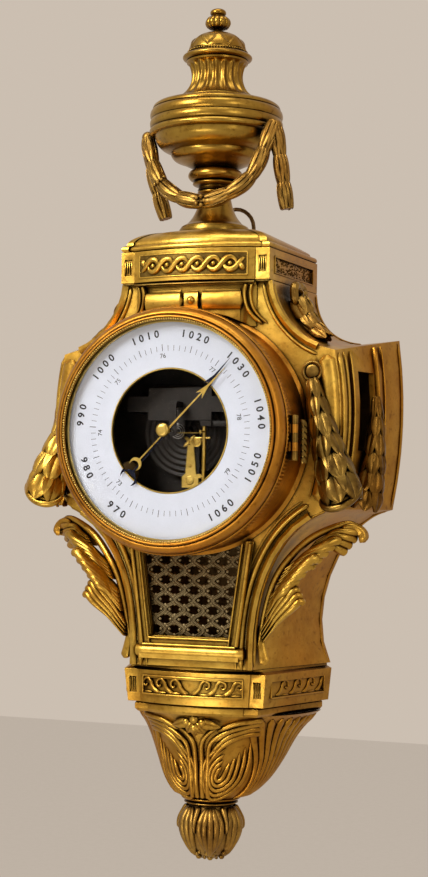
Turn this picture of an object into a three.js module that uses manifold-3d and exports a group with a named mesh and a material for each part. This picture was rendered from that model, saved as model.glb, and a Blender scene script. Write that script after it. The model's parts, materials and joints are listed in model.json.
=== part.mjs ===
// Wall barometer in the Louis XVI manner: a gilt bronze case with an urn on top, an aneroid movement
// behind an open dial, and applied laurels and leaves. Millimetres, +Z up, +X to the viewer's right.
// The wall is the plane y = 0, the front faces -Y, and the dial axis is the Y axis.
import * as THREE from "three";
import { mergeVertices } from "three/addons/utils/BufferGeometryUtils.js";
import Module from "manifold-3d";

const wasm = await Module();
wasm.setup();

// Clearances shared by the whole part.
const seatGap = 0.3;
const overrun = 1;
const wall = 4;
const flatness = 0.04;

// Levels of the case, up the wall.
const caseTop = 120;
const earTop = 64.5;
const earTopWall = 80;
const earBottom = -58;
const caseBottom = -184;

// Half widths of the case, at its front face and at the wall.
const neckHalfFront = 63;
const neckHalfWall = 70;
const shoulderHalfFront = 103;
const shoulderHalfWall = 112;
const earHalfFront = 115;
const earHalfWall = 141;
const earBulgeFront = 16;
const earBulgeWall = 12;
const earFootHalfFront = 110;
const earFootHalfWall = 137;
const hipHalfFront = 51;
const hipHalfWall = 86;
const caseDepth = 95;
const rimRadius = 3.2;

// Curves of the outline, as shares of the way from one corner to the next.
const shoulderFrontShares = [[0.025, 0.44], [0.525, 0.88]];
const shoulderWallShares = [[0.024, 0.65], [0.43, 0.977]];
const lowerFrontShares = [[0.61, 0.097], [1.05, 0.435]];
const lowerWallShares = [[0.725, 0.03], [1.47, 0.62]];
const shoulderSteps = 7;
const earSteps = 6;
const lowerSteps = 9;

// Mouldings along the side of each ear: share of the depth, share of the relief.
const earRelief = 2;
const earMouldShares = [
  [0, 0], [0.11, 0.3], [0.13, -1], [0.2, -1], [0.22, 0.2], [0.54, 0.2], [0.56, 1], [0.64, 1], [0.67, -0.6],
  [0.72, 0],
  [1, 0],
];
const slotTop = 50;
const slotBottom = -12;
const slotFront = 68;
const slotBack = 45;

// Drum, bezel and dial.
const dialRadius = 84.5;
const dialHole = 47.2;
const dialThick = 1.5;
const dialRimWidth = 1.1;
const dialLap = 0.5;
const drumShoulder = 7.5;
const drumRadius = dialRadius + drumShoulder;
const drumFlare = 4;
const drumWall = 4;
const drumDepth = 44;
const dialProud = 9;
const dialFront = caseDepth + drumDepth + dialProud;
const bezelOverhang = 3.5;
const bezelRadius = drumRadius + bezelOverhang;
const bezelSight = dialRadius - dialLap;
const bezelDepth = 18;
const glassThick = 2;
const glassGap = 5.4;
const glassLip = 1.1;
const beadRingWidth = 2.2;

// Hands.
const pointerLength = 74;
const pointerTail = 47.5;
const pointerThick = 0.6;
const pointerWidth = 1.5;
const pointerAngle = 42;
const setHandLength = 67;
const setHandTail = 36;
const setHandAngle = 44.5;
const setHandThick = 0.7;
const handGap = 1.4;
const knobRadius = 5.4;
const knobLength = 8;
const knobShaft = 1.6;

// Movement.
const plateProud = 5;
const plateFront = caseDepth + plateProud;
const plateThick = 2.5;
const plateRadius = drumRadius - 3 * drumWall;
const capsuleRadius = 35;
const capsuleDepth = 15;
const capsulePostRadius = 2.4;
const bridgeHalf = 44;
const bridgeTop = 34;
const bridgeBottom = 9;
const bridgeStand = 27;
const bridgeFront = plateFront + bridgeStand;
const bridgeThick = 3;
const bridgeFoot = 6;
const springThick = 1.4;
const leverPivot = 31;
const leverThick = 1.5;
const leverHalfTop = 20;
const leverOffset = 11;
const leverBrassTop = -13;
const leverBrassBottom = -38;
const linkPlace = -34;
const shaftPlace = 22;
const shaftStand = 30;
const shaftDepth = plateFront + shaftStand;
const shaftRadius = 1.6;
const shaftTop = 4;
const shaftBottom = -38;
const crankLength = 6;
const chainArm = 8.5;
const arborRadius = 0.8;
const arborCollar = 2.6;

// Blocks, cap and base.
const friezeHeight = 25;
const friezeProud = 6;
const friezeFront = caseDepth + friezeProud;
const friezeBow = 9;
const cornerWidth = 12;
const lowerHalfFront = 60;
const lowerHalfWall = 87;
const lowerSetBack = 7;
const lowerFront = caseDepth - lowerSetBack;
const lowerHeight = 30;
const lowerBow = 9;
const lowerTaper = 2.5;
const panelSink = 1.6;
const capHeight = 17.5;
const bowlHeight = 71;
const bowlHalf = lowerHalfWall - 2 * lowerTaper;
const bowlReach = lowerFront;
const budHeight = 50;
const budRadius = 27.2;
const budAxis = 45;

// Urn.
const urnAxis = 57;
const footRadius = 29.3;
const footHeight = 36.5;
const urnBandRadius = 53.6;
const urnBodyHeight = 75;
const urnNeckRadius = 28.1;
const urnNeckHeight = 30.5;
const urnLidRadius = 28.3;
const urnLidHeight = 24.5;
const urnFinialRadius = 10.5;
const urnFinialHeight = 19;
const tieRodRadius = 2.5;
const nutRadius = 6;
const nutThick = 5;
const swagRadius = 7.2;

// Hanging loop.
const loopHalf = 16.5;
const loopRise = 30;
const loopRod = 1.75;
const loopPlace = 8;

const roundSides = 24;
const ringSides = 40;
const smallSides = 16;
const halfTurn = Math.PI;
const fullTurn = 2 * Math.PI;
const degree = Math.PI / 180;

const bronze = { color: 0xb8862e, roughness: 0.34, metalness: 0.95 };
const finish = {
  gilt: new THREE.MeshStandardMaterial(bronze),
  sideGilt: new THREE.MeshStandardMaterial({ color: 0x9a6a22, roughness: 0.38, metalness: 0.95 }),
  brass: new THREE.MeshStandardMaterial({ color: 0xc9a14a, roughness: 0.28, metalness: 1 }),
  grille: new THREE.MeshStandardMaterial({ color: 0x6e5a38, roughness: 0.55, metalness: 0.8 }),
  blackened: new THREE.MeshStandardMaterial({ color: 0x17130f, roughness: 0.45, metalness: 0.7 }),
  steel: new THREE.MeshStandardMaterial({ color: 0x5c5f63, roughness: 0.35, metalness: 1 }),
  blued: new THREE.MeshStandardMaterial({ color: 0x1c2233, roughness: 0.3, metalness: 0.9 }),
  enamel: new THREE.MeshStandardMaterial({ color: 0xd3dae6, roughness: 0.25, metalness: 0 }),
  glass: new THREE.MeshStandardMaterial({ color: 0xeef4f4, roughness: 0.05, metalness: 0 }),
};

// Geometry helpers.

function solidOf(geometry) {
  const bare = new THREE.BufferGeometry();
  bare.setAttribute("position", geometry.getAttribute("position"));
  if (geometry.index) bare.setIndex(geometry.index);
  const merged = mergeVertices(bare, 1e-4);
  const kept = [];
  for (let i = 0; i < merged.index.count; i += 3) {
    const [a, b, c] = [0, 1, 2].map((k) => merged.index.getX(i + k));
    if (a !== b && b !== c && c !== a) kept.push(a, b, c);
  }
  const vertProperties = new Float32Array(merged.attributes.position.array);
  let made = new wasm.Manifold(new wasm.Mesh({ numProp: 3, vertProperties,
    triVerts: new Uint32Array(kept) }));
  if (made.volume() < 0) {
    for (let i = 0; i < kept.length; i += 3) [kept[i + 1], kept[i + 2]] = [kept[i + 2], kept[i + 1]];
    made = new wasm.Manifold(new wasm.Mesh({ numProp: 3, vertProperties, triVerts: new Uint32Array(kept) }));
  }
  return made;
}

function geometryOf(solid) {
  const mesh = solid.getMesh();
  const places = new Float32Array(mesh.numVert * 3);
  for (let i = 0; i < mesh.numVert; i++) {
    places.set(mesh.vertProperties.subarray(i * mesh.numProp, i * mesh.numProp + 3), i * 3);
  }
  const geometry = new THREE.BufferGeometry();
  geometry.setAttribute("position", new THREE.BufferAttribute(places, 3));
  return geometry.setIndex(new THREE.BufferAttribute(mesh.triVerts, 1));
}

function cut(geometry, ...tools) {
  return geometryOf(tools.reduce((left, tool) => left.subtract(solidOf(tool)), solidOf(geometry)));
}

function fuse(geometry, ...more) {
  return geometryOf(more.reduce((sum, piece) => sum.add(solidOf(piece)), solidOf(geometry)));
}

function piece(name, geometry, material) {
  const shown = geometryOf(solidOf(geometry).simplify(flatness)).toNonIndexed();
  shown.computeVertexNormals();
  const mesh = new THREE.Mesh(shown, material);
  mesh.name = name;
  return mesh;
}

function block(x0, x1, y0, y1, z0, z1) {
  const box = new THREE.BoxGeometry(Math.abs(x1 - x0), Math.abs(y1 - y0), Math.abs(z1 - z0));
  return box.translate((x0 + x1) / 2, (y0 + y1) / 2, (z0 + z1) / 2);
}

// A round rod from one point to another.
function rod(from, to, radius, sides = smallSides, endRadius = radius) {
  const along = new THREE.Vector3().subVectors(to, from);
  const made = new THREE.CylinderGeometry(endRadius, radius, along.length(), sides);
  const turn = new THREE.Quaternion().setFromUnitVectors(new THREE.Vector3(0, 1, 0),
    along.clone().normalize());
  return made.applyQuaternion(turn).translate((from.x + to.x) / 2, (from.y + to.y) / 2, (from.z + to.z) / 2);
}

const point = (x, y, z) => new THREE.Vector3(x, y, z);

// Turned pieces: a closed profile, or one that starts and ends on the axis, of [radius, height].
function turnedY(profile, sides = roundSides) {
  return new THREE.LatheGeometry(profile.map(([r, h]) => new THREE.Vector2(r, h)), sides);
}

function turnedZ(profile, sides = roundSides) {
  return turnedY(profile, sides).rotateX(halfTurn / 2);
}

const scaledProfile = (shares, radius, height) => shares.map(([r, h]) => [r * radius, h * height]);

// A turned shell: the outer shares, then a plain inner wall back to the first point.
function shellProfile(outer, radius, height, bore) {
  const profile = scaledProfile(outer, radius, height);
  const [first, last] = [profile[0], profile[profile.length - 1]];
  return [[bore, first[1]], ...profile, [bore, last[1]], [bore, first[1]]];
}

// A closed solid through rings of points; flat(point) gives a ring's two coordinates in its own plane.
function loft(rings, flat) {
  const count = rings[0].length;
  const places = rings.flat().flatMap((p) => [p.x, p.y, p.z]);
  const index = [];
  for (let k = 0; k + 1 < rings.length; k++) {
    for (let i = 0; i < count; i++) {
      const j = (i + 1) % count;
      const [a, b, c, d] = [k * count + i, k * count + j, (k + 1) * count + i, (k + 1) * count + j];
      index.push(a, b, d, a, d, c);
    }
  }
  for (const k of [0, rings.length - 1]) {
    const outline = rings[k].map(flat);
    const faces = THREE.ShapeUtils.triangulateShape(outline, []);
    const along = faces.reduce((sum, face) => sum + THREE.ShapeUtils.area(face.map((i) => outline[i])), 0);
    const withRing = along * THREE.ShapeUtils.area(outline) > 0;
    for (const [a, b, c] of faces) {
      const order = (k === 0) === withRing ? [c, b, a] : [a, b, c];
      index.push(...order.map((i) => k * count + i));
    }
  }
  const geometry = new THREE.BufferGeometry();
  geometry.setAttribute("position", new THREE.BufferAttribute(new Float32Array(places), 3));
  return geometry.setIndex(index);
}

const inFront = (p) => new THREE.Vector2(p.x, p.z);
const inPlan = (p) => new THREE.Vector2(p.x, p.y);

// A tapering round along a curve, with its ring radius given at each share of the way.
function sweep(curve, radiusAt, steps, sides, flatten = 1) {
  const frames = curve.computeFrenetFrames(steps, false);
  const rings = [];
  for (let k = 0; k <= steps; k++) {
    const centre = curve.getPointAt(k / steps);
    const radius = radiusAt(k / steps);
    const ring = [];
    for (let i = 0; i < sides; i++) {
      const angle = (fullTurn * i) / sides;
      const across = frames.normals[k].clone().multiplyScalar(Math.cos(angle) * radius);
      const deep = frames.binormals[k].clone().multiplyScalar(Math.sin(angle) * radius * flatten);
      ring.push(centre.clone().add(across).add(deep));
    }
    rings.push(ring);
  }
  const places = rings.flat().flatMap((p) => [p.x, p.y, p.z]);
  const index = [];
  for (let k = 0; k < steps; k++) {
    for (let i = 0; i < sides; i++) {
      const j = (i + 1) % sides;
      index.push(k * sides + i, k * sides + j, (k + 1) * sides + j);
      index.push(k * sides + i, (k + 1) * sides + j, (k + 1) * sides + i);
    }
  }
  for (let i = 1; i + 1 < sides; i++) {
    index.push(0, i + 1, i);
    index.push(steps * sides, steps * sides + i, steps * sides + i + 1);
  }
  const geometry = new THREE.BufferGeometry();
  geometry.setAttribute("position", new THREE.BufferAttribute(new Float32Array(places), 3));
  return geometry.setIndex(index);
}

function mirrored(geometry) {
  return geometryOf(solidOf(geometry.clone().scale(-1, 1, 1)));
}

// A flat shape in the x-z plane, as thick as asked, with its front face at y = -front.
function plateInFront(shape, front, thick, steps = smallSides / 2) {
  const made = new THREE.ExtrudeGeometry(shape, { depth: thick, bevelEnabled: false, curveSegments: steps });
  return made.rotateX(halfTurn / 2).translate(0, thick - front, 0);
}

function polygon(points) {
  return new THREE.Shape(points.map(([x, z]) => new THREE.Vector2(x, z)));
}

// The case.

// Right half of the outline from the top corner to the bottom corner, with each curve in equal steps.
function outlineHalf(o) {
  const part = (from, to, shares, steps) => {
    const inner = shares.map(([u, w]) => new THREE.Vector2(from[0] + (to[0] - from[0]) * u,
      from[1] + (to[1] - from[1]) * w));
    const curve = new THREE.CubicBezierCurve(new THREE.Vector2(...from), inner[0], inner[1],
      new THREE.Vector2(...to));
    return curve.getPoints(steps);
  };
  const shoulder = part(o.neck, o.shoulder, o.shoulderShares, shoulderSteps);
  const middle = new THREE.Vector2((o.ear[0] + o.earFoot[0]) / 2 + o.bulge, (o.ear[1] + o.earFoot[1]) / 2);
  const ear = new THREE.QuadraticBezierCurve(new THREE.Vector2(...o.ear), middle,
    new THREE.Vector2(...o.earFoot));
  const lower = part(o.earFoot, o.hip, o.lowerShares, lowerSteps);
  return { shoulder, ear: ear.getPoints(earSteps), lower: lower.slice(1) };
}

const frontOutline = outlineHalf({
  neck: [neckHalfFront, caseTop], shoulder: [shoulderHalfFront, earTop + rimRadius],
  shoulderShares: shoulderFrontShares,
  ear: [earHalfFront, earTop], bulge: earBulgeFront, earFoot: [earFootHalfFront, earBottom],
  hip: [hipHalfFront, caseBottom], lowerShares: lowerFrontShares,
});
const wallOutline = outlineHalf({
  neck: [neckHalfWall, caseTop], shoulder: [shoulderHalfWall, earTopWall - rimRadius],
  shoulderShares: shoulderWallShares,
  ear: [earHalfWall, earTopWall], bulge: earBulgeWall, earFoot: [earFootHalfWall, earBottom],
  hip: [hipHalfWall, caseBottom], lowerShares: lowerWallShares,
});

// Each point of a ring moved square to the ring, outwards where proud is above zero.
function offsetRing(ring, proudAt) {
  const count = ring.length;
  return ring.map((p, i) => {
    const before = ring[(i + count - 1) % count];
    const after = ring[(i + 1) % count];
    const first = new THREE.Vector2(p.z - before.z, before.x - p.x).normalize();
    const second = new THREE.Vector2(after.z - p.z, p.x - after.x).normalize();
    const mean = first.clone().add(second);
    const proud = proudAt(i) / Math.max(mean.lengthSq() / 2, 0.5);
    return point(p.x - mean.x * proud, p.y, p.z - mean.y * proud);
  });
}

// One ring of the case at a share of its depth, proud of the true wall by so much, with the ear's relief.
function caseRing(depthShare, proud, relief = 0) {
  const y = -caseDepth * (1 - depthShare);
  const between = (a, b) => point(a.x + (b.x - a.x) * depthShare, y, a.y + (b.y - a.y) * depthShare);
  const right = [];
  const reliefs = [];
  for (const part of ["shoulder", "ear", "lower"]) {
    frontOutline[part].forEach((p, i, all) => {
      right.push(between(p, wallOutline[part][i]));
      reliefs.push(part === "ear" && i > 0 && i < all.length - 1 ? relief : 0);
    });
  }
  const left = right.map((p) => point(-p.x, p.y, p.z)).reverse();
  const ring = right.concat(left);
  const raised = reliefs.concat([...reliefs].reverse());
  return offsetRing(ring, (i) => proud + raised[i]);
}

// The outside of the case, grown by proud, with the mouldings of the ears.
function caseSolid(proud) {
  return loft(earMouldShares.map(([share, relief]) => caseRing(share, proud, relief * earRelief)), inFront);
}

function caseInside() {
  return loft([wall / caseDepth, 1 + overrun / caseDepth].map((share) => caseRing(share, -wall)), inFront);
}

// A round moulding along a stretch of the front edge.
function edgeMoulding(part, side) {
  const inset = rimRadius * 0.6;
  const places = frontOutline[part].map((p) => point(side * (p.x - inset), -caseDepth, p.y));
  return sweep(new THREE.CatmullRomCurve3(places), () => rimRadius, places.length, 6);
}

// The opening of the grille, widened by so much.
const grilleTop = -84;
const grilleBottom = -160;
const grilleHalfTop = 43;
const grilleHalfBottom = 33;
function grilleOutline(grow, top = grilleTop, bottom = grilleBottom - grow) {
  const slope = (grilleHalfTop - grilleHalfBottom) / (grilleTop - grilleBottom);
  const halfAt = (z) => grilleHalfTop + grow + (z - grilleTop) * slope;
  return [[-halfAt(bottom), bottom], [halfAt(bottom), bottom], [halfAt(top), top], [-halfAt(top), top]];
}

const drumHole = drumRadius - drumWall - seatGap;
const earSlot = (side) => block(
  side * (earHalfFront - wall), side * (earHalfWall + earBulgeWall + overrun), -slotFront, -slotBack,
  slotBottom, slotTop);

function caseBody() {
  const drumBore = rod(point(0, -caseDepth - overrun, 0), point(0, -caseDepth + wall + overrun, 0),
    drumHole, ringSides);
  const window = plateInFront(polygon(grilleOutline(0, grilleTop)), caseDepth + overrun, wall + 2 * overrun);
  const topHole = rod(point(0, -urnAxis, caseTop - wall - overrun), point(0, -urnAxis, caseTop + overrun),
    tieRodRadius + seatGap);
  const footHole = rod(point(0, -budAxis, caseBottom - overrun),
    point(0, -budAxis, caseBottom + wall + overrun), tieRodRadius + seatGap);
  const mouldings = [1, -1].flatMap((side) => [edgeMoulding("shoulder", side), edgeMoulding("lower", side)]);
  const shell = cut(fuse(caseSolid(0), ...mouldings), caseInside());
  const ends = [[caseTop, caseTop + 2 * rimRadius], [caseBottom - 2 * rimRadius, caseBottom]].map(
    ([low, high]) => block(-earHalfWall, earHalfWall, -caseDepth - 2 * rimRadius, overrun, low, high));
  return cut(shell, ...ends, drumBore, window, earSlot(1), earSlot(-1), topHole, footHole);
}

const backThick = 2.5;
function backPlate() {
  const plate = loft([1 - backThick / caseDepth, 1].map((share) => caseRing(share, -wall - seatGap)),
    inFront);
  const keyRadius = 5;
  return cut(plate, rod(point(0, -backThick - overrun, -keyPlace), point(0, overrun, -keyPlace), keyRadius));
}
const keyPlace = 24;

// Drum, bezel, glass and dial.

const drumFront = caseDepth + drumDepth;
function movementDrum() {
  const spigot = wall + 2 * overrun;
  const inner = drumRadius - 2 * drumWall;
  const seat = dialRadius + seatGap;
  const ledge = plateRadius - wall;
  const ledgeFront = -plateFront + plateThick + seatGap;
  return turnedY([
    [inner, ledgeFront], [ledge, ledgeFront], [ledge, -caseDepth + spigot],
    [drumHole - seatGap, -caseDepth + spigot], [drumHole - seatGap, -caseDepth - seatGap],
    [drumRadius + drumFlare, -caseDepth - seatGap], [drumRadius + drumFlare, -caseDepth - drumFlare / 2],
    [drumRadius + drumFlare / 3, -caseDepth - drumFlare], [drumRadius, -caseDepth - drumFlare * 2],
    [drumRadius, -drumFront], [seat + drumWall / 2, -drumFront], [seat + drumWall / 2, -dialFront],
    [seat, -dialFront], [seat, -dialFront + dialThick + seatGap],
    [dialHole + 2 * wall, -dialFront + dialThick + seatGap],
    [dialHole + 2 * wall, -dialFront + 2 * dialThick], [inner, -dialFront + 2 * dialThick],
    [inner, ledgeFront],
  ], ringSides);
}

const glassBack = dialFront + glassGap;
const glassFront = glassBack + glassThick;
const glassRadius = bezelSight + beadRingWidth;

const bezelShares = [
  [0, 1], [0.28, 1.06], [0.36, 0.96], [0.5, 0.74], [0.7, 0.56], [0.84, 0.5], [0.9, 0.52], [0.92, 0.4],
];
function bezel() {
  const back = drumFront + seatGap;
  const reach = bezelRadius - bezelSight;
  const ring = bezelShares.map(([r, h]) => [bezelSight + r * reach, -back - h * bezelDepth]);
  const catchRadius = dialRadius + seatGap + drumWall / 2 + seatGap;
  const plain = turnedY([
    ...ring, [bezelRadius, -back - bezelDepth * 0.36], [bezelRadius, -back], [catchRadius, -back],
    [catchRadius, -dialFront - seatGap], [glassRadius + seatGap + glassLip, -dialFront - seatGap],
    [glassRadius + seatGap + glassLip, -glassFront - seatGap], [bezelSight, -glassFront - seatGap], ring[0],
  ], ringSides);
  return fuse(plain, ...bezelKnuckles());
}

// Bezel hinge at three o'clock: five knuckles on one pin, the outer ones and the middle on the drum.
const hingeReach = 3.1;
const hingePlace = bezelRadius + hingeReach;
const knuckleRadius = 2.6;
const hingeAxis = drumFront + knuckleRadius;
const hingeBottom = -22;
const hingeTop = 12;
const hingePinRadius = 0.9;
const knuckleCount = 5;
const knuckleLength = (hingeTop - hingeBottom) / knuckleCount;
function knuckle(index) {
  const low = hingeBottom + index * knuckleLength + seatGap / 2;
  const high = low + knuckleLength - seatGap;
  return { low, high, barrel: rod(point(hingePlace, -hingeAxis, low), point(hingePlace, -hingeAxis, high),
    knuckleRadius) };
}

function pinBore() {
  const clear = hingePinRadius + seatGap;
  return rod(point(hingePlace, -hingeAxis, hingeBottom - overrun),
    point(hingePlace, -hingeAxis, hingeTop + overrun), clear);
}

function bezelKnuckles() {
  return [1, 3].map((index) => {
    const { low, high, barrel } = knuckle(index);
    const leaf = block(bezelRadius - drumWall, hingePlace, -hingeAxis - knuckleRadius, -hingeAxis, low, high);
    return cut(fuse(barrel, leaf), pinBore());
  });
}

function hingeBracket() {
  const low = hingeBottom + seatGap / 2;
  const high = hingeTop - seatGap / 2;
  const back = -drumFront + knuckleLength * 2;
  const strap = block(drumRadius - drumWall, hingePlace - knuckleRadius, -drumFront + overrun, back, low,
    high);
  const arms = [0, 2, 4].map((index) => {
    const made = knuckle(index);
    const arm = block(drumRadius - drumWall, hingePlace, -hingeAxis + knuckleRadius,
      -hingeAxis + 2 * knuckleRadius, made.low, made.high);
    return fuse(made.barrel, arm, block(hingePlace - knuckleRadius / 2, hingePlace + knuckleRadius / 2,
      -hingeAxis, -hingeAxis + 2 * knuckleRadius, made.low, made.high));
  });
  const drumFace = rod(point(0, -drumFront - bezelDepth, 0), point(0, 0, 0), drumRadius + seatGap, ringSides);
  return cut(fuse(strap, ...arms), drumFace, pinBore());
}

function hingePin() {
  return rod(point(hingePlace, -hingeAxis, hingeBottom), point(hingePlace, -hingeAxis, hingeTop),
    hingePinRadius);
}

// The thin ring inside the bezel that holds the glass.
function beadRing() {
  const back = pointerFront + seatGap;
  return turnedY([
    [bezelSight - beadRingWidth / 2, -glassBack + seatGap], [bezelSight - beadRingWidth / 2, -back],
    [glassRadius, -back], [glassRadius, -glassBack + seatGap],
    [bezelSight - beadRingWidth / 2, -glassBack + seatGap],
  ], ringSides);
}

function glassPane() {
  const pane = rod(point(0, -glassFront, 0), point(0, -glassBack, 0), glassRadius, ringSides);
  return cut(pane, rod(point(0, -glassFront - overrun, 0), point(0, -glassBack + overrun, 0),
    knobShaft + seatGap));
}

function dialRing() {
  return turnedY([
    [dialHole + dialRimWidth, -dialFront], [dialRadius, -dialFront], [dialRadius, -dialFront + dialThick],
    [dialHole + dialRimWidth, -dialFront + dialThick], [dialHole + dialRimWidth, -dialFront],
  ], ringSides);
}

function dialRim() {
  const edge = dialHole + dialRimWidth - seatGap;
  return turnedY([
    [dialHole, -dialFront - dialRimWidth / 2], [edge, -dialFront - dialRimWidth / 2],
    [edge, -dialFront + dialThick + seatGap],
    [edge + 2 * dialRimWidth, -dialFront + dialThick + seatGap],
    [edge + 2 * dialRimWidth, -dialFront + dialThick + seatGap + dialRimWidth],
    [dialHole, -dialFront + dialThick + seatGap + dialRimWidth],
    [dialHole, -dialFront - dialRimWidth / 2],
  ], ringSides);
}

// Hands: a tapered blade with an arrow head and a crescent tail, in the x-z plane, pointing up.
function handShape(length, tail, width, hub) {
  const headAt = length * 0.72;
  const head = width * 2.2;
  const moon = length * 0.075;
  const blade = polygon([[-width / 2, 0], [width / 2, 0], [width / 3, headAt], [head, headAt - head],
    [0, length], [-head, headAt - head], [-width / 3, headAt]]);
  const stemEnd = -tail + moon * 0.7;
  const stem = polygon([[-width / 3, 0], [-width / 3, stemEnd], [width / 3, stemEnd], [width / 3, 0]]);
  const crescent = new THREE.Shape();
  crescent.absarc(0, -tail, moon, halfTurn * -0.25, halfTurn * 1.25, false);
  crescent.absarc(0, -tail - moon * 0.35, moon * 0.78, halfTurn * 1.1, halfTurn * -0.1, true);
  return { blade, stem, crescent, disc: new THREE.Shape().absarc(0, 0, hub, 0, fullTurn) };
}

function hand(front, thick, length, tail, width, hub, bore) {
  const { blade, stem, crescent, disc } = handShape(length, tail, width, hub);
  const shapes = [blade, stem, crescent, disc].map((shape) => plateInFront(shape, front, thick));
  const made = fuse(...shapes);
  return bore ? cut(made, rod(point(0, -front - overrun, 0), point(0, -front + thick + overrun, 0),
    bore)) : made;
}

const pointerFront = dialFront + handGap + pointerThick;
const setHandFront = glassBack - seatGap;

function pointerHand() {
  return hand(pointerFront, pointerThick, pointerLength, pointerTail, pointerWidth, arborCollar,
    arborRadius + seatGap);
}

function setHand() {
  return hand(setHandFront, setHandThick, setHandLength, setHandTail, pointerWidth, knobShaft * 1.8,
    knobShaft + seatGap);
}

function setKnob() {
  const back = setHandFront - setHandThick;
  return turnedY([
    [0, -back + seatGap], [knobShaft, -back + seatGap], [knobShaft, -glassFront - seatGap],
    [knobRadius * 0.5, -glassFront - seatGap],
    [knobRadius * 0.5, -glassFront - knobLength * 0.4], [knobRadius, -glassFront - knobLength * 0.55],
    [knobRadius, -glassFront - knobLength * 0.85], [knobRadius * 0.8, -glassFront - knobLength],
    [0, -glassFront - knobLength],
  ], smallSides);
}

// Movement.

const capsuleFront = plateFront + capsuleDepth;
const capsuleRim = 1.2;
const capsuleWaves = 4;
const capsuleWave = 0.7;
// Half of the capsule, a thin dish; the one at the back ends in a stud and nut behind the movement plate.
function corrugated(side) {
  const middle = plateFront + capsuleDepth / 2;
  const rim = side * (capsuleRim / 2 + seatGap * 1.5);
  const face = side * (capsuleDepth / 2 - seatGap * 2);
  const floor = -middle - face + side * (capsuleRim / 2 + capsuleWave);
  const inner = capsulePostRadius * 2;
  const lip = capsuleRadius * 0.93;
  const mouth = [lip - capsuleRim / 2, -middle - rim];
  const profile = [mouth, [capsuleRadius, -middle - rim], [capsuleRadius, -middle - rim - side * capsuleRim]];
  profile.push([lip, -middle - rim - side * capsuleRim], [lip, -middle - face]);
  for (let i = 0; i < capsuleWaves * 2; i++) {
    const share = (i + 0.5) / (capsuleWaves * 2);
    profile.push([lip + (inner - lip) * share, -middle - face + side * (i % 2 ? 0 : capsuleWave)]);
  }
  profile.push([inner, -middle - face], [0, -middle - face], [0, floor], [mouth[0], floor], mouth);
  const shell = turnedY(profile, roundSides - 2);
  if (side > 0) return shell;
  const stud = rod(point(0, floor - capsuleRim / 4, 0), point(0, -plateFront + plateThick + wall, 0),
    capsulePostRadius);
  return fuse(shell, stud, rod(point(0, -plateFront + plateThick + seatGap, 0),
    point(0, -plateFront + plateThick + wall, 0), nutRadius, 6));
}

const leverGap = 3.5;
const leverBack = capsuleFront + leverGap;
function capsulePost() {
  const foot = -capsuleFront + seatGap;
  return rod(point(0, foot, 0), point(0, -leverBack + seatGap, 0), capsulePostRadius, smallSides);
}

function movementPlate() {
  const lugs = 3;
  const disc = rod(point(0, -plateFront, 0), point(0, -plateFront + plateThick, 0), plateRadius, ringSides);
  const keyHole = rod(point(0, -plateFront - overrun, -keyPlace),
    point(0, -plateFront + plateThick + overrun, -keyPlace), keyStem + seatGap);
  const windows = Array.from({ length: lugs }, (_, i) => {
    const angle = halfTurn / 2 + (fullTurn * i) / lugs;
    const place = plateRadius * 0.78;
    const [x, z] = [Math.cos(angle) * place, Math.sin(angle) * place];
    return rod(point(x, -plateFront - overrun, z), point(x, -plateFront + plateThick + overrun, z),
      (plateRadius - capsuleRadius) / 5);
  });
  const studHole = rod(point(0, -plateFront - overrun, 0), point(0, -plateFront + plateThick + overrun, 0),
    capsulePostRadius + seatGap);
  return cut(disc, keyHole, studHole, ...windows);
}

const keyStem = 3;
function adjustingScrew() {
  const head = keyStem * 1.3;
  const back = -backThick - seatGap * 10;
  return fuse(
    rod(point(0, -plateFront - seatGap, -keyPlace), point(0, back, -keyPlace), keyStem),
    rod(point(0, back - wall, -keyPlace), point(0, back, -keyPlace), head),
  );
}

function springBridge() {
  const back = -plateFront - seatGap;
  const front = -bridgeFront;
  const middle = (bridgeTop + bridgeBottom) / 2;
  const footHalf = bridgeFoot;
  const top = block(-bridgeHalf, bridgeHalf, front, front + bridgeThick, middle - footHalf,
    middle + footHalf);
  const web = block(-bridgeHalf * 0.6, bridgeHalf * 0.6, front, front + bridgeThick, bridgeBottom, bridgeTop);
  const legs = [1, -1].map((side) => block(
    side * (bridgeHalf - bridgeFoot), side * bridgeHalf, front, back, middle - footHalf, middle + footHalf));
  const tongue = block(-bridgeFoot * 0.7, bridgeFoot * 0.7, front, front + bridgeThick, -bridgeFoot * 0.7,
    bridgeBottom + overrun);
  const bore = rod(point(0, front - overrun, 0), point(0, front + bridgeThick + overrun, 0),
    arborRadius + seatGap);
  return cut(fuse(top, web, tongue, ...legs), bore);
}

// A broad leaf clamped under the bridge and folded back on itself above it.
function mainSpring() {
  const half = bridgeHalf * 0.55;
  const front = bridgeFront - bridgeThick - seatGap;
  const back = leverBack + seatGap;
  const fold = (front - back) / 2;
  const top = bridgeTop + fold;
  const shape = new THREE.Shape();
  shape.moveTo(-front, bridgeBottom);
  shape.lineTo(-front, top - fold);
  shape.absarc(-(front + back) / 2, top - fold, fold, halfTurn, 0, true);
  shape.lineTo(-back, leverPivot + seatGap);
  shape.lineTo(-back - springThick, leverPivot + seatGap);
  shape.lineTo(-back - springThick, top - fold);
  shape.absarc(-(front + back) / 2, top - fold, fold - springThick, 0, halfTurn, false);
  shape.lineTo(-front + springThick, bridgeBottom);
  const made = new THREE.ExtrudeGeometry(shape, { depth: 2 * half, bevelEnabled: false, curveSegments: 8 });
  const axes = new THREE.Matrix4().makeBasis(point(0, 1, 0), point(0, 0, 1), point(1, 0, 0));
  return made.applyMatrix4(axes).translate(-half, 0, 0);
}

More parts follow.
